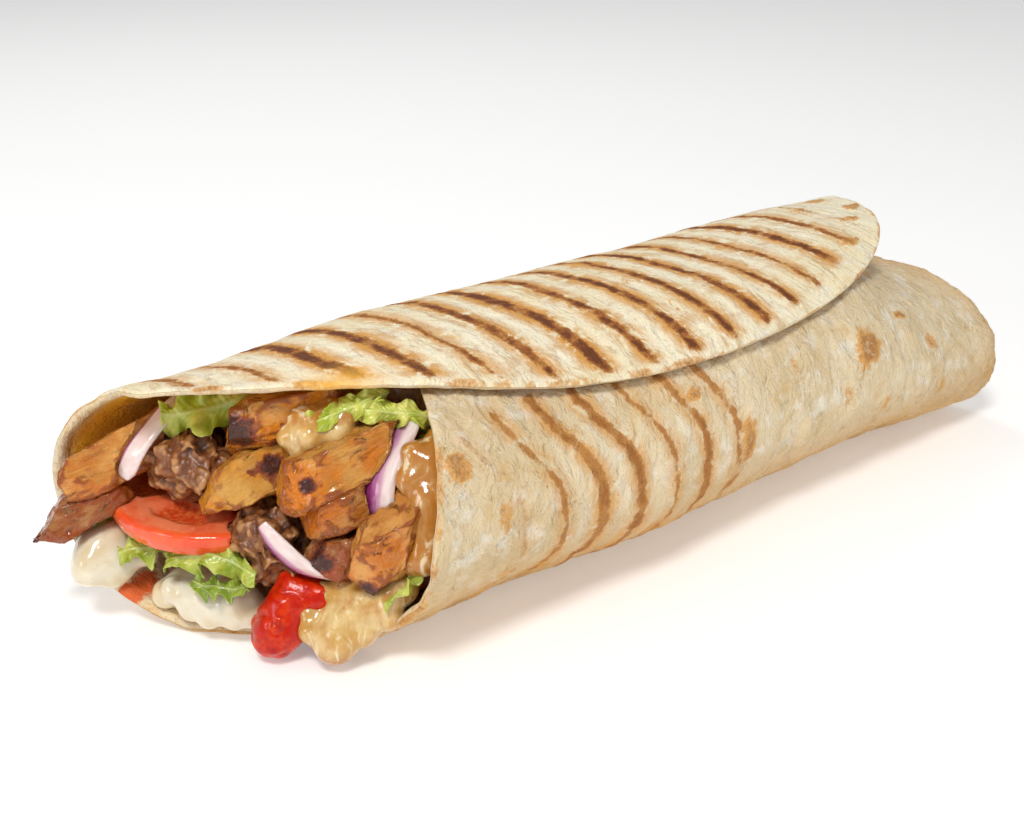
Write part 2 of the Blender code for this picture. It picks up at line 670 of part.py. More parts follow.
def fit_together(objects):
    """Cut each piece clear of the ones before it in the list."""
    cutters = []
    for obj in objects:
        touching = [cutter for cutter in cutters if boxes_meet(obj, cutter)]
        for cutter in touching:
            cut_away(obj, cutter)
        craggy = obj.name.startswith("meat")
        keep_largest_body(obj, math.radians(3 if craggy else 8) if touching else 0.0)
        cutters.append(grown_copy(obj))
    for cutter in cutters:
        bpy.data.objects.remove(cutter, do_unlink=True)


def main():
    clear_scene()
    pieces = [build_bread(), build_core()]
    onions = {name: build_strip(name, points, height, depth, 0.35, 20 + k, ONION_KIND)
              for k, (name, points, height, depth) in enumerate(ONION)}
    meat = {name: build_meat(name, centre, radii, k + 3) for k, (name, centre, radii) in enumerate(MEAT)}
    chicken = {name: build_strip(name, points, height, depth, taper, k, CHICKEN_KIND)
               for k, (name, points, height, depth, taper) in enumerate(CHICKEN)}
    pieces += list(onions.values())
    pieces += [chicken["chicken_5"], chicken["chicken_3"], meat["meat_1"], meat["meat_2"], build_tomato()]
    pieces += [chicken["chicken_" + k] for k in ("1", "8", "7", "6", "4", "2")]
    pieces += [build_sauce(*row) for row in SAUCE]
    pieces += [build_lettuce(*row, k) for k, row in enumerate(LETTUCE)]
    fit_together(pieces)


main()
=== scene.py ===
import math

import bmesh
import bpy
import numpy as np
from mathutils import Matrix, Vector, noise


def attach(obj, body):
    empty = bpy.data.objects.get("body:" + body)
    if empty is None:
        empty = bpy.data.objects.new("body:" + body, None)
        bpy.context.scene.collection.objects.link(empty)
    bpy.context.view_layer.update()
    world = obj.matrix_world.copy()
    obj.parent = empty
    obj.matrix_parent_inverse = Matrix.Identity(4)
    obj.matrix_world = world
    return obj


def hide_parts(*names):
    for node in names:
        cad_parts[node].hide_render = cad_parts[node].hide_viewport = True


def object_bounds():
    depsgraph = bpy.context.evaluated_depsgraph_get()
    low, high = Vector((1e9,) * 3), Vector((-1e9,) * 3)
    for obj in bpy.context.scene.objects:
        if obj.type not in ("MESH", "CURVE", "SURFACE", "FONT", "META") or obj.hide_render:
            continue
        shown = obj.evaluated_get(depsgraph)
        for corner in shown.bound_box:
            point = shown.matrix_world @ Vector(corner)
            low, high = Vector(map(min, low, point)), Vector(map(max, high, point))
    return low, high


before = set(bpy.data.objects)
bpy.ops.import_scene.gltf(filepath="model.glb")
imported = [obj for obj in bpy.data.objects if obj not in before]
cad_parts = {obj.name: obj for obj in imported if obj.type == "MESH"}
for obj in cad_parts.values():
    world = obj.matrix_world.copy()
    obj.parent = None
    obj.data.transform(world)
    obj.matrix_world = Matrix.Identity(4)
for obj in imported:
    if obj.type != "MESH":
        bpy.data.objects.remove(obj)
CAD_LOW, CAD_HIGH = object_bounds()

# Looks of the chicken durum wrap. Lengths are in metres unless a comment says millimetres.
MM = 0.001

# The bread, as rolled in the solid: the same sizes and the same formulas
DISC_RADIUS = 150 * MM
BREAD_THICK = 2.2 * MM
LAYER_GAP = 0.8 * MM
HALF_WIDTH = 40 * MM
HEIGHT = 55 * MM
MIDDLE_Y = 1.5 * MM
SQUARENESS = 2.4
SQUARENESS_BELOW_MOUTH = 1.6
SQUARENESS_BELOW_END = 2.3
ROUNDER_FROM_X = -95 * MM
ROUNDER_LENGTH = 175 * MM
FLAT_SINK = 0.5 * MM
SAG_AT_MOUTH = 2.2 * MM
SAG_AT_END = 1.0 * MM
SAG_HEIGHT = 15 * MM
FLAP_TIP_ANGLE = 142.0
INNER_END_ANGLE = -330.0
LAP_START_ANGLE = -150.0
LAP_FULL_ANGLE = -215.0
MOUTH_REACH = 116.5 * MM
MOUTH_LIP = 34.5 * MM
MOUTH_LIP_START = 103 * MM
MOUTH_LIP_END = 168 * MM
MOUTH_RISE = 14 * MM
MOUTH_RISE_START = 195 * MM
MOUTH_RISE_LENGTH = 37 * MM
MOUTH_RISE_POWER = 1.3
FLAP_CORNER_X = -110 * MM
FLAP_EDGE_END = 60 * MM
ROLL_EDGE_START = 88 * MM
FOLD_START = 57 * MM
FOLD_FULL = 80 * MM
SINK_START = 45 * MM
SINK_FULL = 95 * MM
FLAP_FAR_X = 99.2 * MM
FLAP_FAR_DISTANCE = 62 * MM
END_X = 111 * MM
END_ROUND = 7 * MM
END_DROP = 14 * MM
END_DROP_START = 49 * MM
FLAP_OVERHANG = 22 * MM
SLIT_HALF_LENGTH = 10 * MM
SLIT_HALF_HEIGHT = 1.8 * MM
SLIT_TUCK = 7 * MM
CAP_HOLLOW = 2.5 * MM
PLEATS = 6
PLEAT_DEPTH = 1.0 * MM
BULGE = 1.0 * MM
BULGE_CLEAR = 9 * MM
BODY_COLUMNS = 0.7
FLAP_BODY_SHARE = 0.83

# The fine grid of the bread
FINE_ROW = 1.12 * MM
FINE_COLUMNS = 176
EDGE_ROUND = 1.3 * MM

# Grill bars on the flap and on the front wall
BAR_FIRST_X = -103 * MM
BAR_PITCH = 11.85 * MM
BAR_SLANT = 3.2 * MM
BAR_SLANT_LENGTH = 58 * MM
ARC_FIRST_X = -67.5 * MM
ARC_PITCH = 10.2 * MM
ARC_SLANT = 8.0 * MM

# The camera, at the photo's angle
CAMERA_PLACE = (-0.2148, -0.2066, 0.150)
CAMERA_LOOK = (0.6091, 0.6846, -0.4003)
CAMERA_RIGHT = (0.7471, -0.6647, 0.0)
CAMERA_LENS = 49.22


def smoothstep(low, high, value):
    k = np.clip((value - low) / (high - low), 0.0, 1.0)
    return k * k * (3 - 2 * k)


def rise(low, high, value):
    """A smooth step between two places in millimetres."""
    return smoothstep(low * MM, high * MM, value)


def mix(first, second, k):
    return first + (second - first) * k


def power_wave(value, squareness):
    return np.sign(value) * np.abs(value) ** (2 / squareness)


def noise_at(points, size, seed=0.0):
    """Smooth noise between about -1 and 1, with lumps of a size in millimetres, one or one for each axis."""
    scaled = np.asarray(points).reshape(-1, 3) / (np.array(size) * MM) + seed * np.array([7.31, 3.17, 5.53])
    made = np.array([noise.noise(Vector(p)) for p in scaled])
    return made.reshape(np.asarray(points).shape[:-1])


def rounder(x):
    """How far X has come from the rounder mouth to the squarer end."""
    return np.clip((x - ROUNDER_FROM_X) / ROUNDER_LENGTH, 0, 1)


def section(angle, half_width, height, x=0.0):
    turn = np.radians(angle)
    below = mix(SQUARENESS_BELOW_MOUTH, SQUARENESS_BELOW_END, rounder(x))
    squareness = np.where(np.sin(turn) < 0, below, SQUARENESS)
    y = MIDDLE_Y + half_width * power_wave(np.cos(turn), squareness)
    z = height / 2 + height / 2 * power_wave(np.sin(turn), squareness)
    return y, z


def angle_at(distance):
    angles = np.arange(FLAP_TIP_ANGLE, INNER_END_ANGLE - 1, -1.0)
    y, z = section(angles, HALF_WIDTH, HEIGHT)
    travelled = np.concatenate(([0.0], np.cumsum(np.hypot(np.diff(y), np.diff(z)))))
    return np.interp(distance, travelled, angles), travelled[-1]


def disc_half_width(distance):
    reach = np.clip(DISC_RADIUS - distance, 0.0, DISC_RADIUS)
    return np.sqrt(DISC_RADIUS ** 2 - reach ** 2)


def mouth_edge(distance):
    arc = np.maximum(-disc_half_width(distance), FLAP_CORNER_X)
    climb = np.clip(distance - MOUTH_RISE_START, 0.0, None) / MOUTH_RISE_LENGTH
    lip = MOUTH_LIP * smoothstep(MOUTH_LIP_START, MOUTH_LIP_END, distance)
    roll = -MOUTH_REACH + lip + MOUTH_RISE * climb ** MOUTH_RISE_POWER
    return mix(arc, roll, smoothstep(FLAP_EDGE_END, ROLL_EDGE_START, distance))


def filling_bulge(angle, x):
    turn = np.radians(angle)
    waves = np.sin(2 * turn + 38 * x + 0.6) + 0.8 * np.sin(3 * turn - 61 * x + 2.1)
    return BULGE * (waves + 0.6 * np.sin(97 * x + turn)) / 2


def bread_base(distance, share):
    """The bread's middle surface, how far each point lies from the edge, and its X on the flat disc."""
    angle, _ = angle_at(distance)
    start = mouth_edge(distance)
    folded = smoothstep(FOLD_START, FOLD_FULL, distance)
    sunk = smoothstep(SINK_START, SINK_FULL, distance)
    turn_x = END_X - END_ROUND
    end_y, end_z = section(angle, HALF_WIDTH, HEIGHT - END_DROP, END_X)
    turn = np.radians(angle)
    slit_y = MIDDLE_Y + SLIT_HALF_LENGTH * np.cos(turn)
    slit_z = (HEIGHT - END_DROP) / 2 + SLIT_HALF_HEIGHT * np.sin(turn)
    inward = np.hypot(end_y - slit_y, end_z - slit_z)
    arc_length = END_ROUND * math.pi / 2
    cap_length = arc_length + inward - END_ROUND + SLIT_TUCK
    round_off = np.sqrt(np.clip(distance / FLAP_FAR_DISTANCE, 0, 1))
    flap_end = FLAP_FAR_X * round_off * (2 - round_off)
    straight = mix(flap_end - start, turn_x - start + cap_length, folded)
    straight = np.maximum(straight, 1e-9)
    body_share = mix(FLAP_BODY_SHARE, (turn_x - start) / straight, folded)
    cap_share = body_share + (share - BODY_COLUMNS) / (1 - BODY_COLUMNS) * (1 - body_share)
    path = np.where(share < BODY_COLUMNS, share / BODY_COLUMNS * body_share, cap_share)
    flat_x = start + path * straight
    past = np.clip(flat_x - turn_x, 0.0, None)
    bend = np.clip(past / arc_length, 0.0, 1.0) * math.pi / 2
    along = np.clip(past - arc_length, 0.0, inward - END_ROUND)
    tuck = np.clip(past - arc_length - inward + END_ROUND, 0.0, None)
    moved_in = END_ROUND * (1 - np.cos(bend)) + along
    across_cap = np.clip(along / (inward - END_ROUND), 0, 1)
    pleat = PLEAT_DEPTH * np.sin(PLEATS * turn + 0.7) * np.sin(math.pi * across_cap)
    cap_x = turn_x + END_ROUND * np.sin(bend) - CAP_HOLLOW * smoothstep(0, 1, across_cap) - tuck + pleat
    rolled_x = np.where(past > 0, cap_x, flat_x)
    overhang = FLAP_OVERHANG * (1 - np.exp(-past / FLAP_OVERHANG))
    flap_x = np.where(past > 0, turn_x + overhang, flat_x)
    x = mix(flap_x, rolled_x, folded)
    drop = END_DROP * smoothstep(END_DROP_START, turn_x, x) * sunk
    y, z = section(angle, HALF_WIDTH, HEIGHT - drop, x)
    bulge = filling_bulge(angle, np.minimum(x, turn_x)) * (1 - smoothstep(0, arc_length, past))
    bulge = bulge * smoothstep(FLAT_SINK, BULGE_CLEAR, z)
    y = y + bulge * np.cos(turn)
    z = z + bulge * np.sin(turn)
    share_in = moved_in / inward * folded
    y = mix(y, slit_y, share_in)
    z = mix(z, slit_z, share_in)
    sag = mix(SAG_AT_MOUTH, SAG_AT_END, rounder(x))
    z = np.maximum(z - FLAT_SINK - sag * (1 - smoothstep(0, SAG_HEIGHT, z)), 0.0)
    near_side = DISC_RADIUS - np.hypot(DISC_RADIUS - distance, flat_x)
    far_side = (flap_end - flat_x) * rise(0, 12, flat_x)
    rim = np.where(flat_x < 0, near_side, far_side)
    from_edge = path * straight
    on_flap = (distance < ROLL_EDGE_START) & (folded < 0.5)
    from_edge = np.where(on_flap, np.minimum(from_edge, rim), from_edge)
    return np.stack([x, y, z], axis=-1), np.maximum(from_edge, 0.0), flat_x


def grid_normals(points):
    rows = np.gradient(points, axis=0)
    cols = np.gradient(points, axis=1)
    normal = np.cross(cols, rows)
    length = np.linalg.norm(normal, axis=-1, keepdims=True)
    normal = normal / np.maximum(length, 1e-12)
    normal[0] = normal[1]
    return normal


def keep_inside(points):
    """Hold points inside the box of the solids."""
    return np.clip(points, np.array(CAD_LOW), np.array(CAD_HIGH))


def read_vectors(mesh, kind):
    """The mesh's points, where kind is "co", or its normals, where kind is "normal"."""
    flat = np.empty(len(mesh.vertices) * 3, dtype=np.float32)
    mesh.vertices.foreach_get(kind, flat)
    return flat.reshape(-1, 3).astype(float)


def write_points(mesh, points):
    mesh.vertices.foreach_set("co", keep_inside(points).astype(np.float32).ravel())
    mesh.update()


def add_attributes(mesh, **named):
    """For each name one number or one vector for each vertex, for the material to read."""
    for name, values in named.items():
        values = np.asarray(values, dtype=np.float32)
        kind, part = ("FLOAT", "value") if values.ndim == 1 else ("FLOAT_VECTOR", "vector")
        mesh.attributes.new(name, kind, "POINT").data.foreach_set(part, values.ravel())


def bridge(first, second):
    """Faces between two rows of points, or between grids of them, with no point twice in a face."""
    quads = np.stack([first[..., :-1], first[..., 1:], second[..., 1:], second[..., :-1]], axis=-1)
    return [list(dict.fromkeys(quad)) for quad in quads.reshape(-1, 4).tolist()]


def closed_mesh(name, points, faces):
    """A mesh of one closed skin with its faces turned outwards."""
    mesh = bpy.data.meshes.new(name)
    mesh.from_pydata(keep_inside(points).tolist(), [], faces)
    bm = bmesh.new()
    bm.from_mesh(mesh)
    bmesh.ops.recalc_face_normals(bm, faces=bm.faces)
    bm.to_mesh(mesh)
    bm.free()
    return mesh


def new_piece(name, mesh, material, nodes):
    """A visible piece in place of solids, riding on the one body."""
    mesh.materials.clear()
    mesh.materials.append(material)
    mesh.shade_smooth()
    piece = bpy.data.objects.new(name, mesh)
    bpy.context.scene.collection.objects.link(piece)
    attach(piece, "root")
    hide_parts(*nodes)
    return piece


class Paint:
    """A node material put together with short calls."""

    def __init__(self, name, roughness, specular):
        self.material = bpy.data.materials.new(name)
        self.material.use_nodes = True
        self.tree = self.material.node_tree
        self.shader = self.tree.nodes["Principled BSDF"]
        self.shader.inputs["Roughness"].default_value = roughness
        self.shader.inputs["Specular IOR Level"].default_value = specular
        self.place = self.node("ShaderNodeTexCoord", {}).outputs["Object"]

    def node(self, kind, inputs, **settings):
        made = self.tree.nodes.new(kind)
        for key, value in settings.items():
            setattr(made, key, value)
        for key, value in inputs.items():
            self.put(value, made.inputs[key])
        return made

    def put(self, value, socket):
        if isinstance(value, bpy.types.NodeSocket):
            self.tree.links.new(value, socket)
        elif isinstance(value, tuple) and len(value) < len(socket.default_value):
            socket.default_value = (*value, 1.0)
        else:
            socket.default_value = value

    def attribute(self, name):
        return self.node("ShaderNodeAttribute", {}, attribute_name=name).outputs["Fac"]

    def stretched_noise(self, name, scale, detail, rough, distortion=0.0):
        """Noise over a place kept in an attribute, stretched by a scale for each axis."""
        place = self.node("ShaderNodeAttribute", {}, attribute_name=name).outputs["Vector"]
        place = self.node("ShaderNodeMapping", {"Vector": place, "Scale": scale}).outputs["Vector"]
        return self.noise(1.0 / MM, detail, rough, distortion, place)

    def noise(self, size, detail=3.0, rough=0.55, distortion=0.0, place=None):
        """Noise between 0 and 1 with lumps of a size in millimetres."""
        inputs = {"Vector": place or self.place, "Scale": 1.0 / (size * MM), "Detail": detail,
                  "Roughness": rough, "Distortion": distortion}
        return self.node("ShaderNodeTexNoise", inputs).outputs["Fac"]

    def cells(self, size, output="Distance"):
        inputs = {"Vector": self.place, "Scale": 1.0 / (size * MM)}
        return self.node("ShaderNodeTexVoronoi", inputs).outputs[output]

    def range(self, value, low, high, to_low=0.0, to_high=1.0):
        inputs = {"Value": value, "From Min": low, "From Max": high, "To Min": to_low, "To Max": to_high}
        made = self.node("ShaderNodeMapRange", inputs, interpolation_type="SMOOTHSTEP")
        return made.outputs["Result"]

    def math(self, operation, first, second=0.0, third=0.0):
        inputs = {0: first, 1: second, 2: third}
        return self.node("ShaderNodeMath", inputs, operation=operation).outputs["Value"]

    def times(self, first, second):
        return self.math("MULTIPLY", first, second)

    def shake(self, value, unsteady, strength):
        """A value moved up and down by noise that lies between 0 and 1."""
        return self.math("MULTIPLY_ADD", self.math("SUBTRACT", unsteady, 0.5), strength, value)

    def mix(self, factor, first, second):
        """Two colours mixed. The mix node's colours are its inputs 6 and 7 and its output 2."""
        made = self.node("ShaderNodeMix", {"Factor": factor, 6: first, 7: second}, data_type="RGBA")
        return made.outputs[2]

    def over(self, base, colour, *ranged):
        """A colour laid over a base where a value rises through a range."""
        return self.mix(self.range(*ranged), base, colour)

    def bump(self, height, distance, strength, **below):
        """Bumps of a depth in millimetres, over the normal below if there is one."""
        inputs = {"Height": height, "Distance": distance * MM, "Strength": strength, **below}
        return self.node("ShaderNodeBump", inputs).outputs["Normal"]

    def finish(self, colour, normal=None, roughness=None, subsurface=0.0, radius=(1.0, 0.5, 0.25),
               scale=2.0, coat=0.0, coat_roughness=0.1):
        """Give the shader its looks. The subsurface scale is in millimetres."""
        looks = {"Base Color": colour, "Normal": normal, "Roughness": roughness,
                 "Subsurface Weight": subsurface, "Subsurface Radius": radius,
                 "Subsurface Scale": scale * MM, "Coat Weight": coat, "Coat Roughness": coat_roughness}
        for name, value in looks.items():
            if value is not None:
                self.put(value, self.shader.inputs[name])
        return self.material


def bar_phase(distance, x):
    """Where the grill bars lie on the flap: a bar's middle is at every whole number and a half."""
    slant = BAR_SLANT * (1 - distance / BAR_SLANT_LENGTH)
    return (x - BAR_FIRST_X - slant) / BAR_PITCH + 0.5


def bar_power(distance, x):
    """How strong the grill bars are: fading past the ridge, at the flap's edge and towards its corners."""
    edge = DISC_RADIUS - np.sqrt(DISC_RADIUS ** 2 - np.minimum(np.abs(x), 140 * MM) ** 2)
    reach = smoothstep(edge + 0.5 * MM, edge + 4.0 * MM, distance)
    reach = reach * (1 - rise(66, 98, distance))
    along = rise(-112, -78, x) * (1 - 0.55 * rise(44, 70, x))
    return reach * (0.45 + 0.55 * along) * (1 - rise(68, 80, x))


def arc_phase(angle, x):
    """Where the caramel bars lie on the front wall and, repeated, on the back."""
    slant = np.where(angle < -120, smoothstep(-229, -178, angle), smoothstep(60, -60, angle))
    return (x - ARC_FIRST_X - ARC_SLANT * slant) / ARC_PITCH + 0.5


def arc_power(angle, x):
    front = smoothstep(-122, -136, angle) * smoothstep(-238, -228, angle)
    back = 0.8 * smoothstep(48, 30, angle) * smoothstep(-64, -48, angle)
    phase = arc_phase(angle, x)
    along = (0.3 + 0.7 * smoothstep(0.8, 1.2, phase)) * smoothstep(0.0, 0.2, phase)
    along = along * (1 - smoothstep(5.8, 7.2, phase))
    along_back = rise(-80, -60, x) * (1 - rise(60, 80, x))
    return np.maximum(front * along, back * along_back)


# Toasted blisters: distance back from the flap's tip, X, size round the roll, size along it, strength
BLISTERS = (
    (207, 47.5, 5.0, 4.6, 0.95), (195, 4.5, 5.5, 2.6, 0.9), (214, -71.5, 3.4, 3.0, 0.85),
    (214, 66, 1.4, 2.6, 0.8), (205.5, 76, 3.0, 2.8, 0.55), (211, -9, 1.8, 2.2, 0.85),
    (208, 22, 3.4, 2.0, 0.4), (196, 39, 2.6, 1.6, 0.35), (190, 55, 3.0, 2.0, 0.4),
    (191, 80, 2.6, 1.6, 0.6), (184, -62, 2.4, 2.0, 0.35), (200, -64, 3.6, 1.4, 0.5),
    (45, 86, 2.4, 4.0, 0.7), (34, 88, 1.8, 3.6, 0.7), (27, 78, 1.6, 3.4, 0.75), (18, 66, 1.4, 3.8, 0.75),
    (41, 74, 2.0, 4.6, 0.35), (30, -2, 2.2, 2.6, 0.3), (22, -30, 1.8, 2.2, 0.35), (36, 40, 2.6, 3.4, 0.45),
    (47, 4, 5.0, 4.5, 0.45), (40, -66, 2.6, 2.6, 0.3), (176, -48, 2.0, 3.0, 0.45), (178, -20, 1.8, 4.0, 0.4),
)
HIDDEN_BLISTERS = 34

# Smears of red sauce and fat on the lip, in millimetres: place, reach
SMEARS = (((-111.5, 24, 6.0), 4.5), ((-107.5, 24, 7.5), 5.5), ((-99, 2, 2.0), 4.0), ((-88, -18, 6.0), 4.0))


def blister_field(distance, x, grid, rng):
    """Strength of the toasted blisters: those that show, and more of their kind on the hidden sides."""
    spots = [tuple(np.array(row[:4]) * MM) + (row[4],) for row in BLISTERS]
    for _ in range(HIDDEN_BLISTERS):
        spots.append((rng.uniform(85, 172) * MM, rng.uniform(-100, 100) * MM, rng.uniform(1.2, 4.6) * MM,
                      rng.uniform(1.2, 4.2) * MM, rng.uniform(0.3, 0.9)))
    ragged = 1 + 0.45 * noise_at(grid, 3.2, 31.0) + 0.3 * noise_at(grid, 1.4, 32.0)
    found = np.zeros(x.shape)
    for far, along, tall, wide, strength in spots:
        reach = np.sqrt(((distance - far) / tall) ** 2 + ((x - along) / wide) ** 2) * ragged
        found = np.maximum(found, strength * (1 - smoothstep(0.5, 1.25, reach)))
    return found


def bar_marks(paint, kind, pitch, width, unsteady):
    """How brown the nearest bar is, and the golden glow beside it. Pitch and width are in millimetres."""
    moved = paint.shake(paint.attribute(kind + "_phase"), paint.noise(13, 2.0), 2.0 * unsteady / pitch)
    moved = paint.shake(moved, paint.noise(2.6), 1.5 * unsteady / pitch)
    which = {"W": paint.math("FLOOR", moved)}
    vary = paint.node("ShaderNodeTexWhiteNoise", which, noise_dimensions="1D").outputs["Value"]
    part = paint.math("ABSOLUTE", paint.math("SUBTRACT", paint.math("FRACT", moved), 0.5))
    gap = paint.math("SUBTRACT", paint.times(part, pitch), paint.math("MULTIPLY_ADD", vary, 0.7, -0.3))
    gap = paint.shake(gap, paint.noise(0.9, 4.0, 0.7), 1.6)
    core = paint.range(gap, width * 0.05, width * 1.15, 1.0, 0.0)
    breaks = paint.range(paint.noise(4.5, 3.0, 0.6), 0.34, 0.60, 0.35, 1.0)
    power = paint.times(paint.attribute(kind + "_power"), paint.math("MULTIPLY_ADD", vary, 0.4, 0.75))
    core = paint.times(paint.times(core, breaks), power)
    glow = paint.range(gap, width * 0.8, width * 3.0, 1.0, 0.0)
    patches = paint.range(paint.noise(6, 4.0, 0.65, distortion=0.8), 0.36, 0.52)
    glow = paint.times(paint.times(glow, patches), power)
    return core, glow


def bread_paint():
    paint = Paint("baked_flatbread", roughness=0.7, specular=0.3)
    spot, oil, flap, warm = map(paint.attribute, ("spot", "oil", "flap", "warm"))
    rim, stain, power = map(paint.attribute, ("rim", "stain", "bar_power"))
    bar, glow = bar_marks(paint, "bar", BAR_PITCH / MM, 1.8, 1.0)
    arc, arc_glow = bar_marks(paint, "arc", ARC_PITCH / MM, 1.5, 0.5)
    fine = paint.noise(0.7, 4.0, 0.7)
    small = paint.noise(2.2, 4.0, 0.65)
    middle = paint.noise(6.0, 4.0, 0.62)
    broad = paint.noise(22, 3.0, 0.5)
    folds = paint.stretched_noise("sheet", (260, 120, 1), 4.0, 0.62, 0.9)
    gold = (0.72, 0.35, 0.08)
    tan = (0.50, 0.22, 0.055)
    brown = (0.33, 0.105, 0.022)
    dark = (0.14, 0.040, 0.012)
    # Painted light and shade: the bread in a lighter, lit copy on the flap on top and a darker, shaded copy
    # on the wall below.
    shaded_bread = paint.over((0.74, 0.58, 0.35), (0.84, 0.69, 0.46), broad, 0.35, 0.65)
    lit_bread = paint.over((0.94, 0.82, 0.55), (0.98, 0.89, 0.67), broad, 0.35, 0.65)
    base = paint.mix(flap, shaded_bread, lit_bread)
    base = paint.over(base, (0.90, 0.85, 0.73), middle, 0.50, 0.68, 0.0, 0.7)
    base = paint.over(base, (0.72, 0.48, 0.20), middle, 0.28, 0.45, 0.6, 0.0)
    base = paint.over(base, (0.62, 0.42, 0.19), folds, 0.56, 0.70, 0.0, 0.6)
    base = paint.over(base, (0.93, 0.89, 0.79), small, 0.57, 0.72, 0.0, 0.5)
    base = paint.over(base, (0.66, 0.46, 0.22), small, 0.30, 0.42, 0.35, 0.0)
    specks = paint.range(paint.cells(1.9), 0.0, 0.17, 1.0, 0.0)
    specks = paint.times(specks, paint.range(middle, 0.45, 0.6, 0.1, 0.9))
    base = paint.mix(paint.times(specks, 0.6), base, (0.34, 0.24, 0.12))
    # Darker, warmer tan low on the wall, at the far end and by the lip: the bread's browning there, partly
    # painted shade near the floor.
    warmth = paint.times(warm, paint.range(middle, 0.3, 0.62, 0.5, 1.0))
    base = paint.mix(warmth, base, (0.62, 0.36, 0.125))
    noisy = paint.math("MULTIPLY_ADD", fine, 0.5, paint.times(small, 0.5))
    noisy = paint.math("SUBTRACT", noisy, 0.5)
    toast = paint.times(power, paint.range(middle, 0.54, 0.70, 0.0, 0.65))
    base = paint.mix(toast, base, (0.74, 0.45, 0.17))
    base = paint.mix(paint.times(glow, 0.95), base, gold)
    base = paint.mix(paint.times(arc_glow, 0.7), base, gold)
    patchy = paint.times(rim, paint.range(paint.noise(9), 0.42, 0.62, 0.35, 1.0))
    edge = paint.math("MULTIPLY_ADD", noisy, 2.4, paint.math("MULTIPLY_ADD", patchy, 1.0, -0.4))
    base = paint.over(base, gold, edge, 0.0, 0.5, 0.0, 0.75)
    base = paint.over(base, brown, edge, 0.45, 0.9, 0.0, 0.8)
    blister = paint.math("MULTIPLY_ADD", noisy, 1.8, spot)
    base = paint.over(base, gold, blister, 0.10, 0.50, 0.0, 0.85)
    base = paint.over(base, (0.36, 0.14, 0.04), blister, 0.50, 1.0, 0.0, 0.75)
    middle_of_spot = paint.times(paint.range(spot, 0.7, 0.95), paint.range(small, 0.5, 0.6))
    base = paint.mix(paint.times(middle_of_spot, 0.55), base, (0.80, 0.60, 0.34))
    bar = paint.math("MULTIPLY_ADD", noisy, 1.1, bar)
    arc = paint.math("MULTIPLY_ADD", noisy, 0.9, arc)
    base = paint.over(base, tan, arc, 0.12, 0.45, 0.0, 0.95)
    base = paint.over(base, brown, arc, 0.55, 1.0, 0.0, 0.6)
    base = paint.over(base, tan, bar, 0.10, 0.36)
    base = paint.over(base, brown, bar, 0.32, 0.62)
    base = paint.over(base, dark, bar, 0.60, 0.95, 0.0, 0.9)
    # Partly painted light: the oil-soaked orange is brightened so the inner wall glows as if lit through the
    # thin bread.
    oil_and_glow = paint.times(oil, paint.range(middle, 0.25, 0.55, 0.65, 1.0))
    base = paint.mix(oil_and_glow, base, (0.95, 0.48, 0.035))
    drops = paint.times(oil, paint.range(small, 0.62, 0.74, 0.0, 0.3))
    base = paint.mix(drops, base, (0.42, 0.16, 0.025))
    stained = paint.math("MULTIPLY_ADD", noisy, 1.6, stain)
    base = paint.over(base, (0.72, 0.105, 0.010), stained, 0.25, 0.6, 0.0, 0.95)
    wet = paint.math("MAXIMUM", oil, stain)
    rough = paint.math("SUBTRACT", 0.74, paint.times(wet, 0.45))
    grain = paint.bump(fine, 0.3, 0.7)
    lumps = paint.bump(small, 1.1, 0.7, Normal=grain)
    dry = paint.math("SUBTRACT", 1.0, wet)
    creases = paint.bump(paint.times(folds, dry), 2.4, 0.7, Normal=lumps)
    return paint.finish(base, creases, rough, subsurface=0.08, radius=(1.0, 0.6, 0.3), scale=1.6)


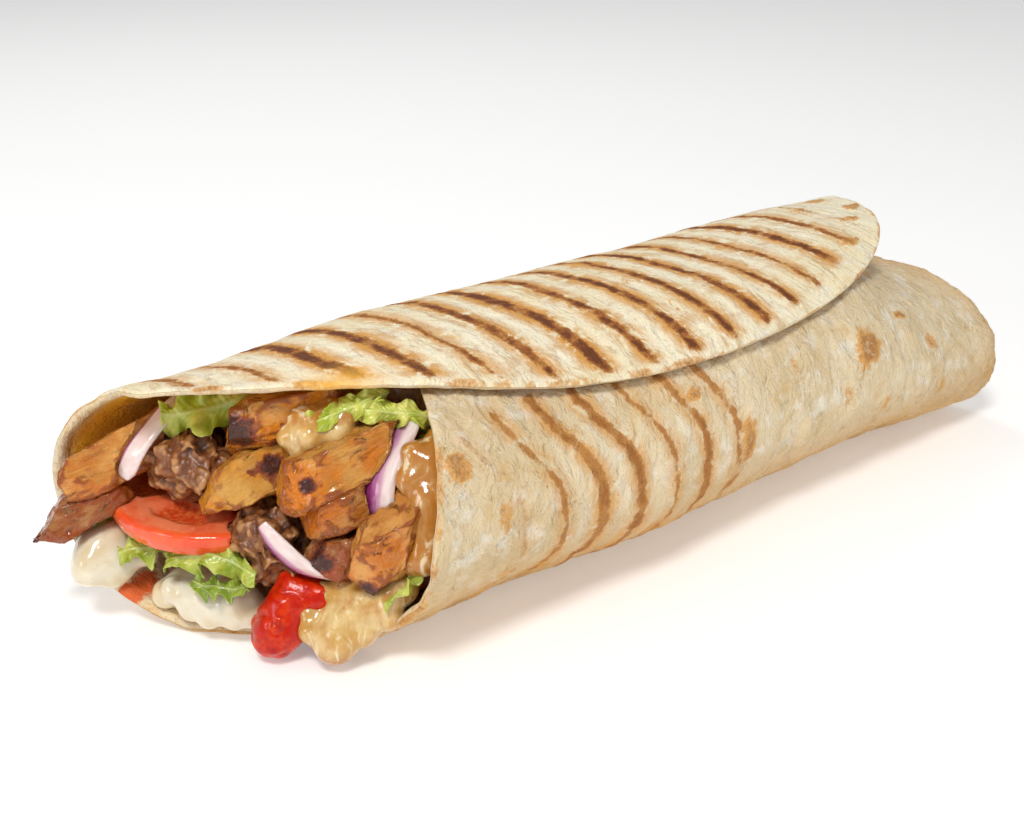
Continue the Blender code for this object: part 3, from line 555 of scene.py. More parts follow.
def build_bread():
    """The flatbread at full detail: one closed skin, rounded at its edges, with blisters and wrinkles."""
    _, total = angle_at(0.0)
    pole = DISC_RADIUS * (1 - np.cos(np.radians(np.arange(0, 26, 1.6))))
    count = round((total - pole[-1]) / FINE_ROW)
    distance = np.concatenate((pole, np.linspace(pole[-1], total, count + 1)[1:]))[:, None]
    near = np.array([0, 0.0007, 0.0018, 0.0034, 0.006])
    share = np.concatenate((near, np.linspace(0.0095, 0.9905, FINE_COLUMNS), 1 - near[::-1]))[None, :]
    base, from_edge, flat_x = bread_base(distance, share)
    distance = distance + 0 * share
    normal = grid_normals(base)
    angle, _ = angle_at(distance)
    lap = smoothstep(-LAP_START_ANGLE, -LAP_FULL_ANGLE, -angle)
    rng = np.random.default_rng(11)
    smooth = base - normal * ((BREAD_THICK + LAYER_GAP) * lap)[..., None]
    x = base[..., 0]
    sheet = np.stack([flat_x, distance, 0 * distance], axis=-1)
    spot = blister_field(distance, x, sheet, rng)
    dents = 0.35 * noise_at(base, 21, 41.0) - 0.2
    creases = 1 - np.abs(noise_at(sheet, (5.5, 9, 1), 43.0))
    creases = np.clip(creases - 0.72, 0, 1) * rise(60, 130, distance)
    pores = noise_at(sheet, 1.9, 45.0)
    domes = noise_at(sheet, 6.5, 47.0)
    free = rise(0, 3, from_edge)
    puckers = np.abs(noise_at(sheet, (2.6, 4.2, 1), 49.0))
    body = rise(70, 130, distance)
    swells = noise_at(sheet, (9, 13, 1), 53.0)
    relief = dents - 0.15 + 0.30 * domes + 0.12 * pores - 1.3 * creases * free
    relief = relief + (0.5 * swells - 1.0 * puckers) * body + 0.4 * smoothstep(0.2, 0.9, spot)
    relief = relief * rise(0, 5, base[..., 2])
    round_off = np.sqrt(1 - (1 - np.clip(from_edge / EDGE_ROUND, 0, 1)) ** 2)
    thick = BREAD_THICK * (0.12 + 0.88 * round_off)
    middle = smooth - normal * (BREAD_THICK / 2)
    frill = 0.5 * MM * noise_at(sheet, 4.5, 51.0) * (1 - rise(0, 4, from_edge))
    middle = middle + normal * frill[..., None]
    outer = middle + normal * (thick / 2 + relief * MM * round_off)[..., None]
    inner_relief = 0.3 * domes + 0.12 * pores
    inner = middle - normal * (thick / 2 - 0.1 * MM + inner_relief * 0.5 * MM * round_off)[..., None]
    rows, cols = outer.shape[:2]
    per_side = (rows - 1) * cols

    def index(side):
        grid = np.empty((rows, cols), dtype=int)
        grid[0] = side
        grid[1:] = 2 + side * per_side + np.arange(per_side).reshape(rows - 1, cols)
        return grid

    def spread(first, second):
        """Values of the outer and the inner side, in the order of the mesh's points."""
        rest = [side[1:].reshape(per_side, *side.shape[2:]) for side in (first, second)]
        return np.concatenate((first[:1, 0], second[:1, 0], *rest))

    top, bottom = index(0), index(1)
    faces = bridge(top[:-1], top[1:]) + bridge(bottom[1:], bottom[:-1])
    faces += bridge(top[:, 0], bottom[:, 0]) + bridge(bottom[:, -1], top[:, -1]) + bridge(top[-1], bottom[-1])
    mesh = closed_mesh("flatbread_baked", spread(outer, inner), faces)
    none = np.zeros(x.shape)
    mouth = 1 - rise(30, 60, from_edge)
    golden = np.exp(-((distance - 24 * MM) / (6 * MM)) ** 2 - ((flat_x + 82 * MM) / (9 * MM)) ** 2)
    # Darker and warmer towards the bottom of the wall: browning, partly painted shade near the floor.
    low = 1 - rise(5, 26, base[..., 2])
    end_edge = rise(94, 110, x) * 0.8 * body
    rim = 1 - rise(0.3, 3.0, from_edge)
    lip = (1 - rise(1, 9, from_edge)) * (1 - rise(8, 16, base[..., 2]))
    stain = np.zeros(x.shape)
    for place, reach in SMEARS:
        away = np.linalg.norm(base - np.array(place) * MM, axis=-1) / (reach * MM)
        stain = np.maximum(stain, 1 - smoothstep(0.2, 1.0, away))
    # The inner wall near the mouth: soaked with oil, and painted with a glow as of light through the bread.
    soaked_and_glowing = mouth * rise(0.8, 4, from_edge) * rise(10, 22, base[..., 2])
    add_attributes(
        mesh,
        bar_phase=spread(bar_phase(distance, x), none),
        bar_power=spread(bar_power(distance, x), none),
        arc_phase=spread(arc_phase(angle, x), none),
        arc_power=spread(arc_power(angle, x), none),
        sheet=spread(sheet, sheet + (0, 0, 1)),
        spot=spread(spot, 0.6 * spot),
        oil=spread(0.8 * golden, np.maximum(soaked_and_glowing, 0.8 * golden)),
        rim=spread(rim, 0.6 * rim),
        stain=spread(0.4 * stain, stain),
        # flap: where the bread takes its lighter copy, painted light on the top of the roll.
        flap=spread(1 - rise(70, 110, distance), none + 0.6),
        warm=spread(np.clip(low + end_edge + lip, 0, 0.9), none + 0.3),
    )
    return new_piece("flatbread_baked", mesh, bread_paint(), ["flatbread"])


def fine_copy(node, voxel, smooth, name, lobes=()):
    """A node's form as an even fine mesh, and its points. Small round lobes are added, in millimetres."""
    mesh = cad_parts[node].data.copy()
    mesh.transform(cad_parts[node].matrix_world)
    bm = bmesh.new()
    bm.from_mesh(mesh)
    bmesh.ops.remove_doubles(bm, verts=bm.verts, dist=0.02 * MM)
    for x, y, z, radius in lobes:
        made = bmesh.ops.create_icosphere(bm, subdivisions=3, radius=radius * MM)
        bmesh.ops.translate(bm, verts=made["verts"], vec=Vector((x, y, z)) * MM)
    bm.to_mesh(mesh)
    bm.free()
    draft = bpy.data.objects.new("draft", mesh)
    bpy.context.scene.collection.objects.link(draft)
    remesh = draft.modifiers.new("even", "REMESH")
    remesh.mode = "VOXEL"
    remesh.voxel_size = voxel
    if smooth:
        soften = draft.modifiers.new("soft", "SMOOTH")
        soften.factor = 0.5
        soften.iterations = smooth
    graph = bpy.context.evaluated_depsgraph_get()
    graph.update()
    made = bpy.data.meshes.new_from_object(draft.evaluated_get(graph))
    made.name = name
    bpy.data.objects.remove(draft, do_unlink=True)
    made.update()
    return made, read_vectors(made, "co")


def pushed(mesh, points, push):
    """Points moved out along the mesh's normals, by millimetres."""
    return points + read_vectors(mesh, "normal") * (push * MM)[:, None]


def standing_out(mesh, points, rounds):
    """How far each point stands out of its smoothed neighbourhood, in millimetres."""
    edges = np.empty(len(mesh.edges) * 2, dtype=np.int32)
    mesh.edges.foreach_get("vertices", edges)
    first, second = edges.reshape(-1, 2).T
    count = np.bincount(first, minlength=len(points)) + np.bincount(second, minlength=len(points))
    smooth = points.copy()
    for _ in range(rounds):
        total = np.zeros_like(smooth)
        for axis in range(3):
            total[:, axis] = (np.bincount(first, smooth[second, axis], len(points))
                              + np.bincount(second, smooth[first, axis], len(points)))
        smooth = total / np.maximum(count, 1)[:, None]
    return np.einsum("ij,ij->i", points - smooth, read_vectors(mesh, "normal")) / MM


def long_axis(points):
    """A turn that takes a piece's length to the first axis, and its middle."""
    middle = points.mean(axis=0)
    _, _, axes = np.linalg.svd(points - middle, full_matrices=False)
    return middle, axes


# Chicken: cut and glazed colours, share of brown and gloss
CHICKEN_LOOKS = {
    "chicken_1": ((0.60, 0.25, 0.045), (0.66, 0.19, 0.014), 0.35, 0.6),
    "chicken_2": ((0.32, 0.072, 0.005), (0.34, 0.05, 0.002), 0.50, 1.0),
    "chicken_3": ((0.54, 0.21, 0.020), (0.76, 0.23, 0.005), 0.38, 0.8),
    "chicken_4": ((0.58, 0.26, 0.030), (0.78, 0.28, 0.008), 0.32, 0.8),
    "chicken_5": ((0.52, 0.20, 0.018), (0.76, 0.21, 0.003), 0.38, 0.8),
    "chicken_6": ((0.42, 0.14, 0.014), (0.64, 0.16, 0.004), 0.38, 0.8),
    "chicken_7": ((0.46, 0.17, 0.055), (0.40, 0.06, 0.010), 0.35, 1.0),
    "chicken_8": ((0.62, 0.25, 0.045), (0.72, 0.20, 0.010), 0.40, 0.9),
}

# Their char spots in millimetres: x, y, z, radius
CHARS = {
    "chicken_1": ((-92, 25, 36, 4), (-118, 33, 33, 1.5)),
    "chicken_2": ((-126, 35, 18, 3), (-112, 31, 30, 4)),
    "chicken_3": ((-94, 6, 42.8, 3.0), (-88, 0, 38, 2)),
    "chicken_4": ((-90, 1.9, 35.7, 2.4),),
    "chicken_5": ((-90, -9.7, 36, 1.6), (-72, -12, 43, 3)),
    "chicken_6": ((-80, -14, 27, 2.6),),
    "chicken_7": ((-90, -12.7, 22, 3.0), (-84, -13, 24, 2)),
    "chicken_8": ((-86, -22, 18, 2.4), (-84, -25, 14, 2)),
}

ROASTED = (0.32, 0.070, 0.008)
BURNT = (0.035, 0.008, 0.006)


def chicken_paint(name, cut, glazed, share, gloss):
    paint = Paint(name + "_grilled", roughness=0.4, specular=0.25)
    char, groove, edge, glaze = map(paint.attribute, ("char", "groove", "edge", "glaze"))
    fibres = paint.stretched_noise("grain", (0.16, 1.5, 1.5), 5.0, 0.65, 0.5)
    mottle = paint.noise(3.4, 5.0, 0.68)
    broad = paint.noise(8.0, 3.0, 0.55)
    fine = paint.noise(0.6, 4.0, 0.7)
    face = paint.shake(glaze, mottle, 1.5)
    base = paint.mix(paint.range(face, 0.15, 0.85), cut, glazed)
    flesh = tuple(min(0.95, c * 1.2 + add) for c, add in zip(cut, (0.10, 0.13, 0.06)))
    base = paint.over(base, flesh, broad, 0.42, 0.64, 0.0, 0.85)
    # Partly painted highlight and shade: the pale fibres lightened along the bump's ridges and the gaps
    # between them darkened.
    base = paint.over(base, flesh, fibres, 0.57, 0.68, 0.0, 0.65)
    base = paint.over(base, tuple(c * 0.5 for c in cut), fibres, 0.32, 0.45, 0.35, 0.0)
    roast = paint.shake(paint.math("ADD", edge, share - 0.5), mottle, 1.8)
    base = paint.over(base, ROASTED, roast, 0.12, 1.0, 0.0, 0.9)
    # Painted shade: the fibre grooves darkened with a deeper copy of the roasted brown.
    base = paint.mix(paint.times(groove, 0.8), base, tuple(c * 0.4 for c in ROASTED))
    flecks = paint.times(paint.range(fine, 0.62, 0.74), paint.range(mottle, 0.45, 0.62, 0.0, 0.6))
    base = paint.mix(flecks, base, tuple(c * 0.5 for c in ROASTED))
    burnt = paint.shake(char, fine, 1.2)
    base = paint.over(base, (0.24, 0.030, 0.008), burnt, 0.15, 0.60, 0.0, 0.9)
    base = paint.over(base, BURNT, burnt, 0.60, 1.0, 0.0, 0.9)
    rough = paint.range(paint.noise(2.2), 0.38, 0.62, 0.26 - gloss * 0.12, 0.42 - gloss * 0.16)
    height = paint.math("MULTIPLY_ADD", fibres, 1.5, fine)
    normal = paint.bump(height, 0.5, 0.8)
    return paint.finish(base, normal, rough, subsurface=0.18, radius=(1.0, 0.35, 0.1), scale=1.8,
                        coat=0.25 + 0.35 * gloss, coat_roughness=0.08)


def knife_faces(points, axes, seed, point):
    """Cut a strip by slanting planes: four sides, an oblique or pointed end at the mouth, and chips."""
    rng = np.random.default_rng(int(seed))
    middle = points.mean(axis=0)
    outward = axes[0] if axes[0][0] < 0 else -axes[0]
    upright = np.array([0.25, 0.12, 0.96])
    upright = upright - outward * (upright @ outward)
    upright = upright / np.linalg.norm(upright)
    side = np.cross(outward, upright)
    planes = []
    for quarter in range(4):
        turn = quarter * math.pi / 2 + rng.uniform(-0.2, 0.2)
        way = upright * math.cos(turn) + side * math.sin(turn) + outward * rng.uniform(-0.14, 0.14)
        planes.append((way, rng.uniform(0.68, 0.75)))
    lean, keep = (1.7, 0.50) if point else (rng.uniform(0.3, 0.7), 0.84)
    planes.append((outward + upright * lean + side * rng.uniform(-0.5, 0.5), keep))
    planes.append((-outward + upright * rng.uniform(-0.6, 0.6) + side * rng.uniform(-0.5, 0.5), 0.86))
    for _ in range(3):
        turn = rng.uniform(0, 2 * math.pi)
        way = upright * math.cos(turn) + side * math.sin(turn) + outward * rng.uniform(-0.9, 0.9)
        planes.append((way, rng.uniform(0.72, 0.82)))
    lengthwise = ((points - middle) @ outward)[:, None] * outward
    spine = middle + lengthwise
    points = spine + lengthwise * 0.08 + (points - spine) * 1.36
    for way, keep in planes:
        way = way / np.linalg.norm(way)
        out = (points - middle) @ way
        points = points - way * np.maximum(out - out.max() * keep, 0)[:, None]
    return points


# The way in which a strip's glazed, warm-coloured sides face: down and out of the mouth
GLAZED_WAY = np.array([-0.72, -0.30, -0.62])


def build_chicken(node, seed):
    """A grilled strip: flat cut faces, fibres along it, browned edges and charred places."""
    cut, glazed, share, gloss = CHICKEN_LOOKS[node]
    mesh, points = fine_copy(node, 0.32 * MM, 0, node + "_grilled")
    middle, axes = long_axis(points)
    points = knife_faces(points, axes, seed, node == "chicken_2")
    write_points(mesh, points)
    glaze = smoothstep(-0.1, 0.85, read_vectors(mesh, "normal") @ GLAZED_WAY)
    local = (points - middle) @ axes.T
    bend = 1.6 * MM * noise_at(points, 7, seed)[:, None]
    strands = noise_at(local + bend, (8, 1.7, 1.7), seed + 1)
    thin = noise_at(local + bend, (4.0, 0.85, 0.85), seed + 2)
    lumps = noise_at(points, 3.6, seed + 3)
    broad = noise_at(points, 8.5, seed + 4)
    crumbs = noise_at(points, 1.5, seed + 5)
    ridges = 1 - np.abs(strands) * 2
    # groove: the fibre grooves, dented in below and darkened in the colour as painted shade.
    groove = np.clip((ridges - 0.78) / 0.22, 0, 1) * smoothstep(0.0, 0.4, lumps + 0.3 * broad)
    push = 0.35 * broad + 0.38 * lumps + 0.22 * strands + 0.18 * thin + 0.16 * crumbs - 0.7 * groove - 0.1
    points = pushed(mesh, points, push)
    write_points(mesh, points)
    edge = standing_out(mesh, points, 16)
    burnt = np.zeros(len(points))
    for x, y, z, radius in CHARS[node]:
        away = np.linalg.norm(points - np.array([x, y, z]) * MM, axis=1)
        away = (away - away.min()) / (radius * MM)
        burnt = np.maximum(burnt, 1 - smoothstep(0.30, 1.25, away * (1 + 0.8 * lumps + 0.3 * crumbs)))
    add_attributes(
        mesh,
        char=burnt,
        edge=np.clip(edge / 0.18, -0.5, 1.4) * (0.45 + share),
        glaze=glaze,
        groove=groove,
        grain=local / MM,
    )
    paint = chicken_paint(node, cut, glazed, share, gloss)
    return new_piece(node + "_grilled", mesh, paint, [node])


def meat_paint():
    paint = Paint("browned_meat", roughness=0.45, specular=0.4)
    crumb = paint.attribute("crumb")
    mottle = paint.noise(2.4, 4.0, 0.65)
    fine = paint.noise(0.7, 3.0, 0.6)
    base = paint.over((0.16, 0.050, 0.016), (0.31, 0.115, 0.038), mottle, 0.38, 0.66)
    # Painted highlight: a lighter tan on the crumbs that stand out.
    base = paint.over(base, (0.56, 0.29, 0.115), crumb, 0.05, 0.45, 0.0, 0.75)
    # Painted shade: near-black in the hollows between crumbs.
    base = paint.over(base, (0.035, 0.013, 0.008), crumb, -0.5, -0.02, 0.85, 0.0)
    base = paint.over(base, (0.06, 0.022, 0.012), fine, 0.62, 0.78, 0.0, 0.5)
    rough = paint.range(paint.noise(1.6, 2.0), 0.35, 0.65, 0.22, 0.5)
    normal = paint.bump(fine, 0.3, 0.6)
    return paint.finish(base, normal, rough, subsurface=0.06, scale=1.0, coat=0.2, coat_roughness=0.2)


def build_meat(node, seed, paint):
    """A chunk of ground meat: round crumbs of several sizes pressed together."""
    mesh, points = fine_copy(node, 0.36 * MM, 3, node + "_browned")
    shift = Vector((seed, seed * 2.0, 0.0))
    noise.seed_set(int(seed))
    high = np.empty(len(points))
    for k, p in enumerate(points):
        place = Vector(p) + Vector(noise.noise_vector(Vector(p) / (3 * MM))) * (0.9 * MM)
        large, _ = noise.voronoi(place / (3.9 * MM) + shift)
        small, _ = noise.voronoi(place / (1.7 * MM) + shift)
        high[k] = 1 - 1.25 * large[0] ** 2 - 0.55 * small[0] ** 2
    twist = noise_at(points, 2.4, seed)
    push = 1.8 * (high - 0.55) + 0.35 * twist
    points = pushed(mesh, points, push)
    write_points(mesh, points)
    # How far each crumb stands out, for the painted highlight on crumbs and the painted shade between them.
    add_attributes(mesh, crumb=standing_out(mesh, points, 14))
    return new_piece(node + "_browned", mesh, paint, [node])


TOMATO_CENTRE = np.array([-91, 22.5, 20.6])


def tomato_paint():
    paint = Paint("cut_tomato", roughness=0.16, specular=0.55)
    wall = paint.attribute("wall")
    skin = paint.attribute("skin")
    fine = paint.noise(1.1, 4.0, 0.6)
    broad = paint.noise(5, 3.0, 0.5)
    flesh = paint.over((0.78, 0.130, 0.045), (0.84, 0.22, 0.095), broad, 0.35, 0.65)
    flesh = paint.over(flesh, (0.90, 0.36, 0.20), fine, 0.5, 0.72, 0.0, 0.4)
    gel = paint.over((0.62, 0.055, 0.012), (0.80, 0.20, 0.05), fine, 0.4, 0.7)
    inside = paint.mix(wall, gel, flesh)
    rind = paint.over((0.82, 0.070, 0.012), (0.88, 0.125, 0.022), broad, 0.3, 0.7)
    base = paint.mix(skin, inside, rind)
    normal = paint.bump(fine, 0.12, 0.4)
    return paint.finish(base, normal, subsurface=0.25, radius=(1.0, 0.25, 0.1), scale=2.5,
                        coat=0.4, coat_roughness=0.08)


def build_tomato():
    mesh, points = fine_copy("tomato", 0.36 * MM, 9, "tomato_slice")
    local = points / MM - TOMATO_CENTRE
    radius = np.hypot(local[:, 0], local[:, 1])
    turn = np.arctan2(local[:, 1], local[:, 0])
    pocket = 0.5 + 0.5 * np.cos(5 * turn + 0.4)
    uneven = 1.3 * noise_at(points, 3.5, 3.0)
    hollow = smoothstep(0.2, 0.5, pocket) * smoothstep(7.6, 9.8, radius + uneven)
    hollow = hollow * (1 - smoothstep(14.6, 16.8, radius + uneven))
    add_attributes(
        mesh,
        wall=1 - hollow,
        skin=smoothstep(19.4, 20.5, radius + 0.25 * noise_at(points, 4, 2.0)),
    )
    write_points(mesh, points)
    return new_piece("tomato_slice", mesh, tomato_paint(), ["tomato"])


# Onion: the direction in which each strip's purple skin lies
ONION_SKIN = {"onion_1": (-0.6, 0.6, 0.1), "onion_2": (-0.2, 0.1, -1.0), "onion_3": (-0.75, -0.1, -0.5)}
ONION_SKIN_START = {"onion_1": 0.45, "onion_2": -0.5, "onion_3": -0.2}


def onion_paint():
    paint = Paint("red_onion", roughness=0.2, specular=0.5)
    skin = paint.attribute("skin")
    lines = paint.stretched_noise("grain", (0.08, 1.6, 1.6), 3.0, 0.5)
    base = paint.over((0.80, 0.62, 0.60), (0.87, 0.75, 0.71), lines, 0.35, 0.65)
    edge = paint.shake(skin, lines, 0.5)
    base = paint.over(base, (0.50, 0.16, 0.34), edge, 0.25, 0.70, 0.0, 0.85)
    base = paint.over(base, (0.28, 0.030, 0.17), edge, 0.72, 0.98)
    normal = paint.bump(lines, 0.15, 0.4)
    return paint.finish(base, normal, subsurface=0.45, radius=(1.0, 0.6, 0.8), scale=2.0,
                        coat=0.3, coat_roughness=0.1)


def build_onion(node, paint):
    mesh, points = fine_copy(node, 0.24 * MM, 8, node + "_cut")
    middle, axes = long_axis(points)
    local = (points - middle) @ axes.T
    side = np.array(ONION_SKIN[node])
    side = side - axes[0] * (side @ axes[0])
    side = side / np.linalg.norm(side)
    spine = np.poly1d(np.polyfit(local[:, 0], (points - middle) @ side, 3))
    across = (points - middle) @ side - spine(local[:, 0])
    half = np.percentile(np.abs(across), 97)
    add_attributes(mesh, skin=smoothstep(ONION_SKIN_START[node], 1.0, across / half), grain=local / MM)
    write_points(mesh, points)
    return new_piece(node + "_cut", mesh, paint, [node])


def white_sauce_paint():
    paint = Paint("white_sauce", roughness=0.16, specular=0.5)
    thin = paint.attribute("thin")
    broad = paint.noise(6, 3.0, 0.5)
    base = paint.over((0.80, 0.74, 0.59), (0.71, 0.59, 0.37), broad, 0.35, 0.7)
    base = paint.mix(paint.times(thin, 0.7), base, (0.76, 0.60, 0.32))
    herbs = paint.range(paint.cells(2.4), 0.0, 0.08, 0.5, 0.0)
    base = paint.mix(herbs, base, (0.45, 0.40, 0.22))
    normal = paint.bump(paint.noise(3.0), 0.35, 0.4)
    return paint.finish(base, normal, subsurface=0.35, radius=(1.0, 0.8, 0.5), scale=2.0,
                        coat=0.5, coat_roughness=0.06)


def red_sauce_paint():
    paint = Paint("red_sauce", roughness=0.09, specular=0.2)
    lumps = paint.noise(2.6, 4.0, 0.6)
    base = paint.over((0.52, 0.010, 0.001), (0.70, 0.042, 0.002), lumps, 0.40, 0.68)
    deep = paint.range(paint.noise(3.6), 0.50, 0.70, 0.0, 0.7)
    base = paint.mix(deep, base, (0.34, 0.006, 0.001))
    normal = paint.bump(lumps, 0.7, 0.6)
    return paint.finish(base, normal, subsurface=0.12, radius=(1.0, 0.12, 0.04), scale=1.5,
                        coat=0.25, coat_roughness=0.05)


def cheese_paint():
    paint = Paint("melted_cheese", roughness=0.2, specular=0.5)
    oil = paint.attribute("thin")
    broad = paint.noise(5, 3.0, 0.5)
    streaks = paint.stretched_noise("grain", (0.42, 0.42, 0.13), 4.0, 0.6, 0.7)
    base = paint.over((0.76, 0.56, 0.25), (0.60, 0.34, 0.075), broad, 0.35, 0.65)
    thinned = paint.shake(oil, streaks, -1.6)
    base = paint.over(base, (0.47, 0.17, 0.012), thinned, 0.15, 0.95, 0.0, 0.9)
    base = paint.over(base, (0.90, 0.80, 0.56), streaks, 0.56, 0.70, 0.0, 0.8)
    normal = paint.bump(paint.noise(2.6), 0.35, 0.5)
    return paint.finish(base, normal, subsurface=0.35, radius=(1.0, 0.7, 0.3), scale=2.4,
                        coat=0.6, coat_roughness=0.08)


# How amber each run of cheese is, the first one only near its top
AMBER = {"cheese_1": 0.9, "cheese_2": 0.8, "cheese_3": 0.35}

# Small lobes where the sauces and the cheese run, in millimetres: x, y, z, radius
LOBES = {
    "white_sauce_1": ((-110, 26, 14, 3.4), (-107, 24, 14, 2.8), (-117, 29, 12, 3.6), (-110, 30, 17, 3.2),
                      (-113.5, 26, 11.5, 3.2)),
    "white_sauce_2": ((-106, 18, 7.5, 3.4), (-106, 15, 9.5, 3.0), (-104, 12, 6.4, 3.4), (-102.5, 8, 6.0, 3.4),
                      (-99.5, 4, 6.2, 3.4), (-97, 0.5, 7, 3.2), (-103.5, 8.5, 9.5, 3.0), (-100, 3, 9.5, 3.0)),
    "red_sauce": ((-96.5, -5, 9, 3.2), (-98, -6, 5, 3.2), (-92, -4.5, 14.5, 2.6), (-97, -3.5, 6.5, 3.0)),
    "cheese_1": ((-82, 2, 45.5, 3.2), (-79, 0, 46.5, 3.2), (-85.5, -2.5, 40, 2.8), (-80.5, -6.5, 43, 3.2),
                 (-87, 0.5, 41.5, 2.6)),
    "cheese_2": ((-74, -20.5, 36, 3.4), (-76, -23, 29, 3.4), (-77, -25, 22, 3.4), (-72, -19, 40, 3.2)),
    "cheese_3": ((-91.5, -10, 10, 2.8), (-88.5, -10.5, 13, 2.6), (-92.5, -12, 7, 3.0),
                 (-85, -13, 13.5, 3.4), (-88, -13.5, 9, 3.2), (-90.5, -16.5, 5, 3.6), (-86, -19.5, 8, 3.4),
                 (-80, -19.5, 14.5, 3.4), (-82, -22, 11, 3.2)),
}


def build_sauce(node, paint, seed):
    """Thick sauce or melted cheese: smooth lobes with a thinner, deeper-coloured foot."""
    mesh, points = fine_copy(node, 0.32 * MM, 60, node + "_glossy", LOBES[node])
    fold = 0.8 if node == "red_sauce" else 0.3
    push = 0.45 * noise_at(points, 5.5, seed) - 0.1
    push += fold * np.abs(noise_at(points, (4.4, 4.4, 3.4), seed + 1))
    points = pushed(mesh, points, push)
    points[:, 2] = np.maximum(points[:, 2], 0.1 * MM)
    write_points(mesh, points)
    low = 1 - rise(0, 5, points[:, 2] - points[:, 2].min())
    patches = smoothstep(0.1, 0.6, noise_at(points, 6, seed + 5))
    amber = AMBER.get(node, 0.0)
    if node == "cheese_1":
        amber = amber * rise(43, 47, points[:, 2])
    add_attributes(mesh, thin=np.clip(0.6 * low + 0.5 * patches + amber, 0, 1), grain=points / MM)
    return new_piece(node + "_glossy", mesh, paint, [node])


# Lettuce as in the solids, in millimetres: points along it, direction across, width, frill; then its greens
LETTUCE = (
    ("lettuce_1", ((-101, 23, 43), (-96, 18, 43.5), (-91, 14, 45.5), (-84, 12, 47)),
     (-0.35, -0.55, -0.75), 9, 1.6, 0.9),
    ("lettuce_2", ((-87, -3, 44), (-80, -7, 47), (-75, -9.5, 49), (-70, -9, 49)),
     (-0.3, -0.5, -0.8), 5, 1.1, 1.0),
    ("lettuce_3", ((-78, -9, 47.5), (-72, -13, 46.5), (-65, -17, 45)), (-0.3, -0.45, -0.85), 4.5, 0.9, 1.0),
    ("lettuce_4", ((-113, 23, 17), (-108, 19.5, 18), (-101, 14, 17.5)), (-0.4, -0.75, -0.5), 6, 0.8, 0.6),
    ("lettuce_5", ((-107.5, 13.5, 17), (-104, 8, 19.5), (-100.5, 1.5, 19.3), (-98.5, -3.5, 17.5)),
     (-0.5, -0.6, -0.65), 6, 1.3, 0.6),
    ("lettuce_6", ((-106, 7, 14.5), (-103.5, 1.5, 14.8), (-99.5, -3.5, 15.2)),
     (-0.75, -0.5, -0.35), 4.5, 0.9, 0.15),
    ("lettuce_7", ((-75, -21, 24), (-78, -26, 20), (-84, -26, 16)), (-0.3, 0.6, -0.7), 5, 0.7, 0.8),
    ("lettuce_8", ((-113, 33, 23), (-110, 31, 20.5), (-105, 26, 18)), (-0.45, -0.6, -0.65), 6, 0.7, 0.6),
    ("lettuce_9", ((-63, -13, 43), (-66, -17, 40), (-68, -20, 36)), (-0.5, 0.6, -0.5), 6, 1.0, 0.45),
)


def path_points(points, count):
    knots = np.array(points, float) * MM
    spans = np.concatenate(([0.0], np.cumsum(np.linalg.norm(np.diff(knots, axis=0), axis=1))))
    slopes = np.gradient(knots, spans, axis=0)
    where = np.linspace(0, spans[-1], count)
    k = np.clip(np.searchsorted(spans, where, side="right") - 1, 0, len(spans) - 2)
    width = (spans[k + 1] - spans[k])[:, None]
    t = ((where - spans[k])[:, None]) / width
    return ((2 * t ** 3 - 3 * t ** 2 + 1) * knots[k] + (t ** 3 - 2 * t ** 2 + t) * width * slopes[k]
            + (3 * t ** 2 - 2 * t ** 3) * knots[k + 1] + (t ** 3 - t ** 2) * width * slopes[k + 1])


def lettuce_paint():
    paint = Paint("fresh_lettuce", roughness=0.32, specular=0.5)
    vein = paint.attribute("vein")
    bright = paint.attribute("bright")
    broad = paint.noise(4, 3.0, 0.5)
    dark = paint.mix(bright, (0.13, 0.20, 0.016), (0.38, 0.48, 0.030))
    light = paint.mix(bright, (0.27, 0.36, 0.030), (0.72, 0.75, 0.17))
    base = paint.mix(paint.range(broad, 0.35, 0.68), dark, light)
    base = paint.mix(paint.times(vein, 0.45), base, (0.72, 0.76, 0.38))
    fine = paint.cells(0.9)
    normal = paint.bump(fine, 0.15, 0.5)
    return paint.finish(base, normal, subsurface=0.4, radius=(0.6, 1.0, 0.3), scale=1.2,
                        coat=0.2, coat_roughness=0.15)


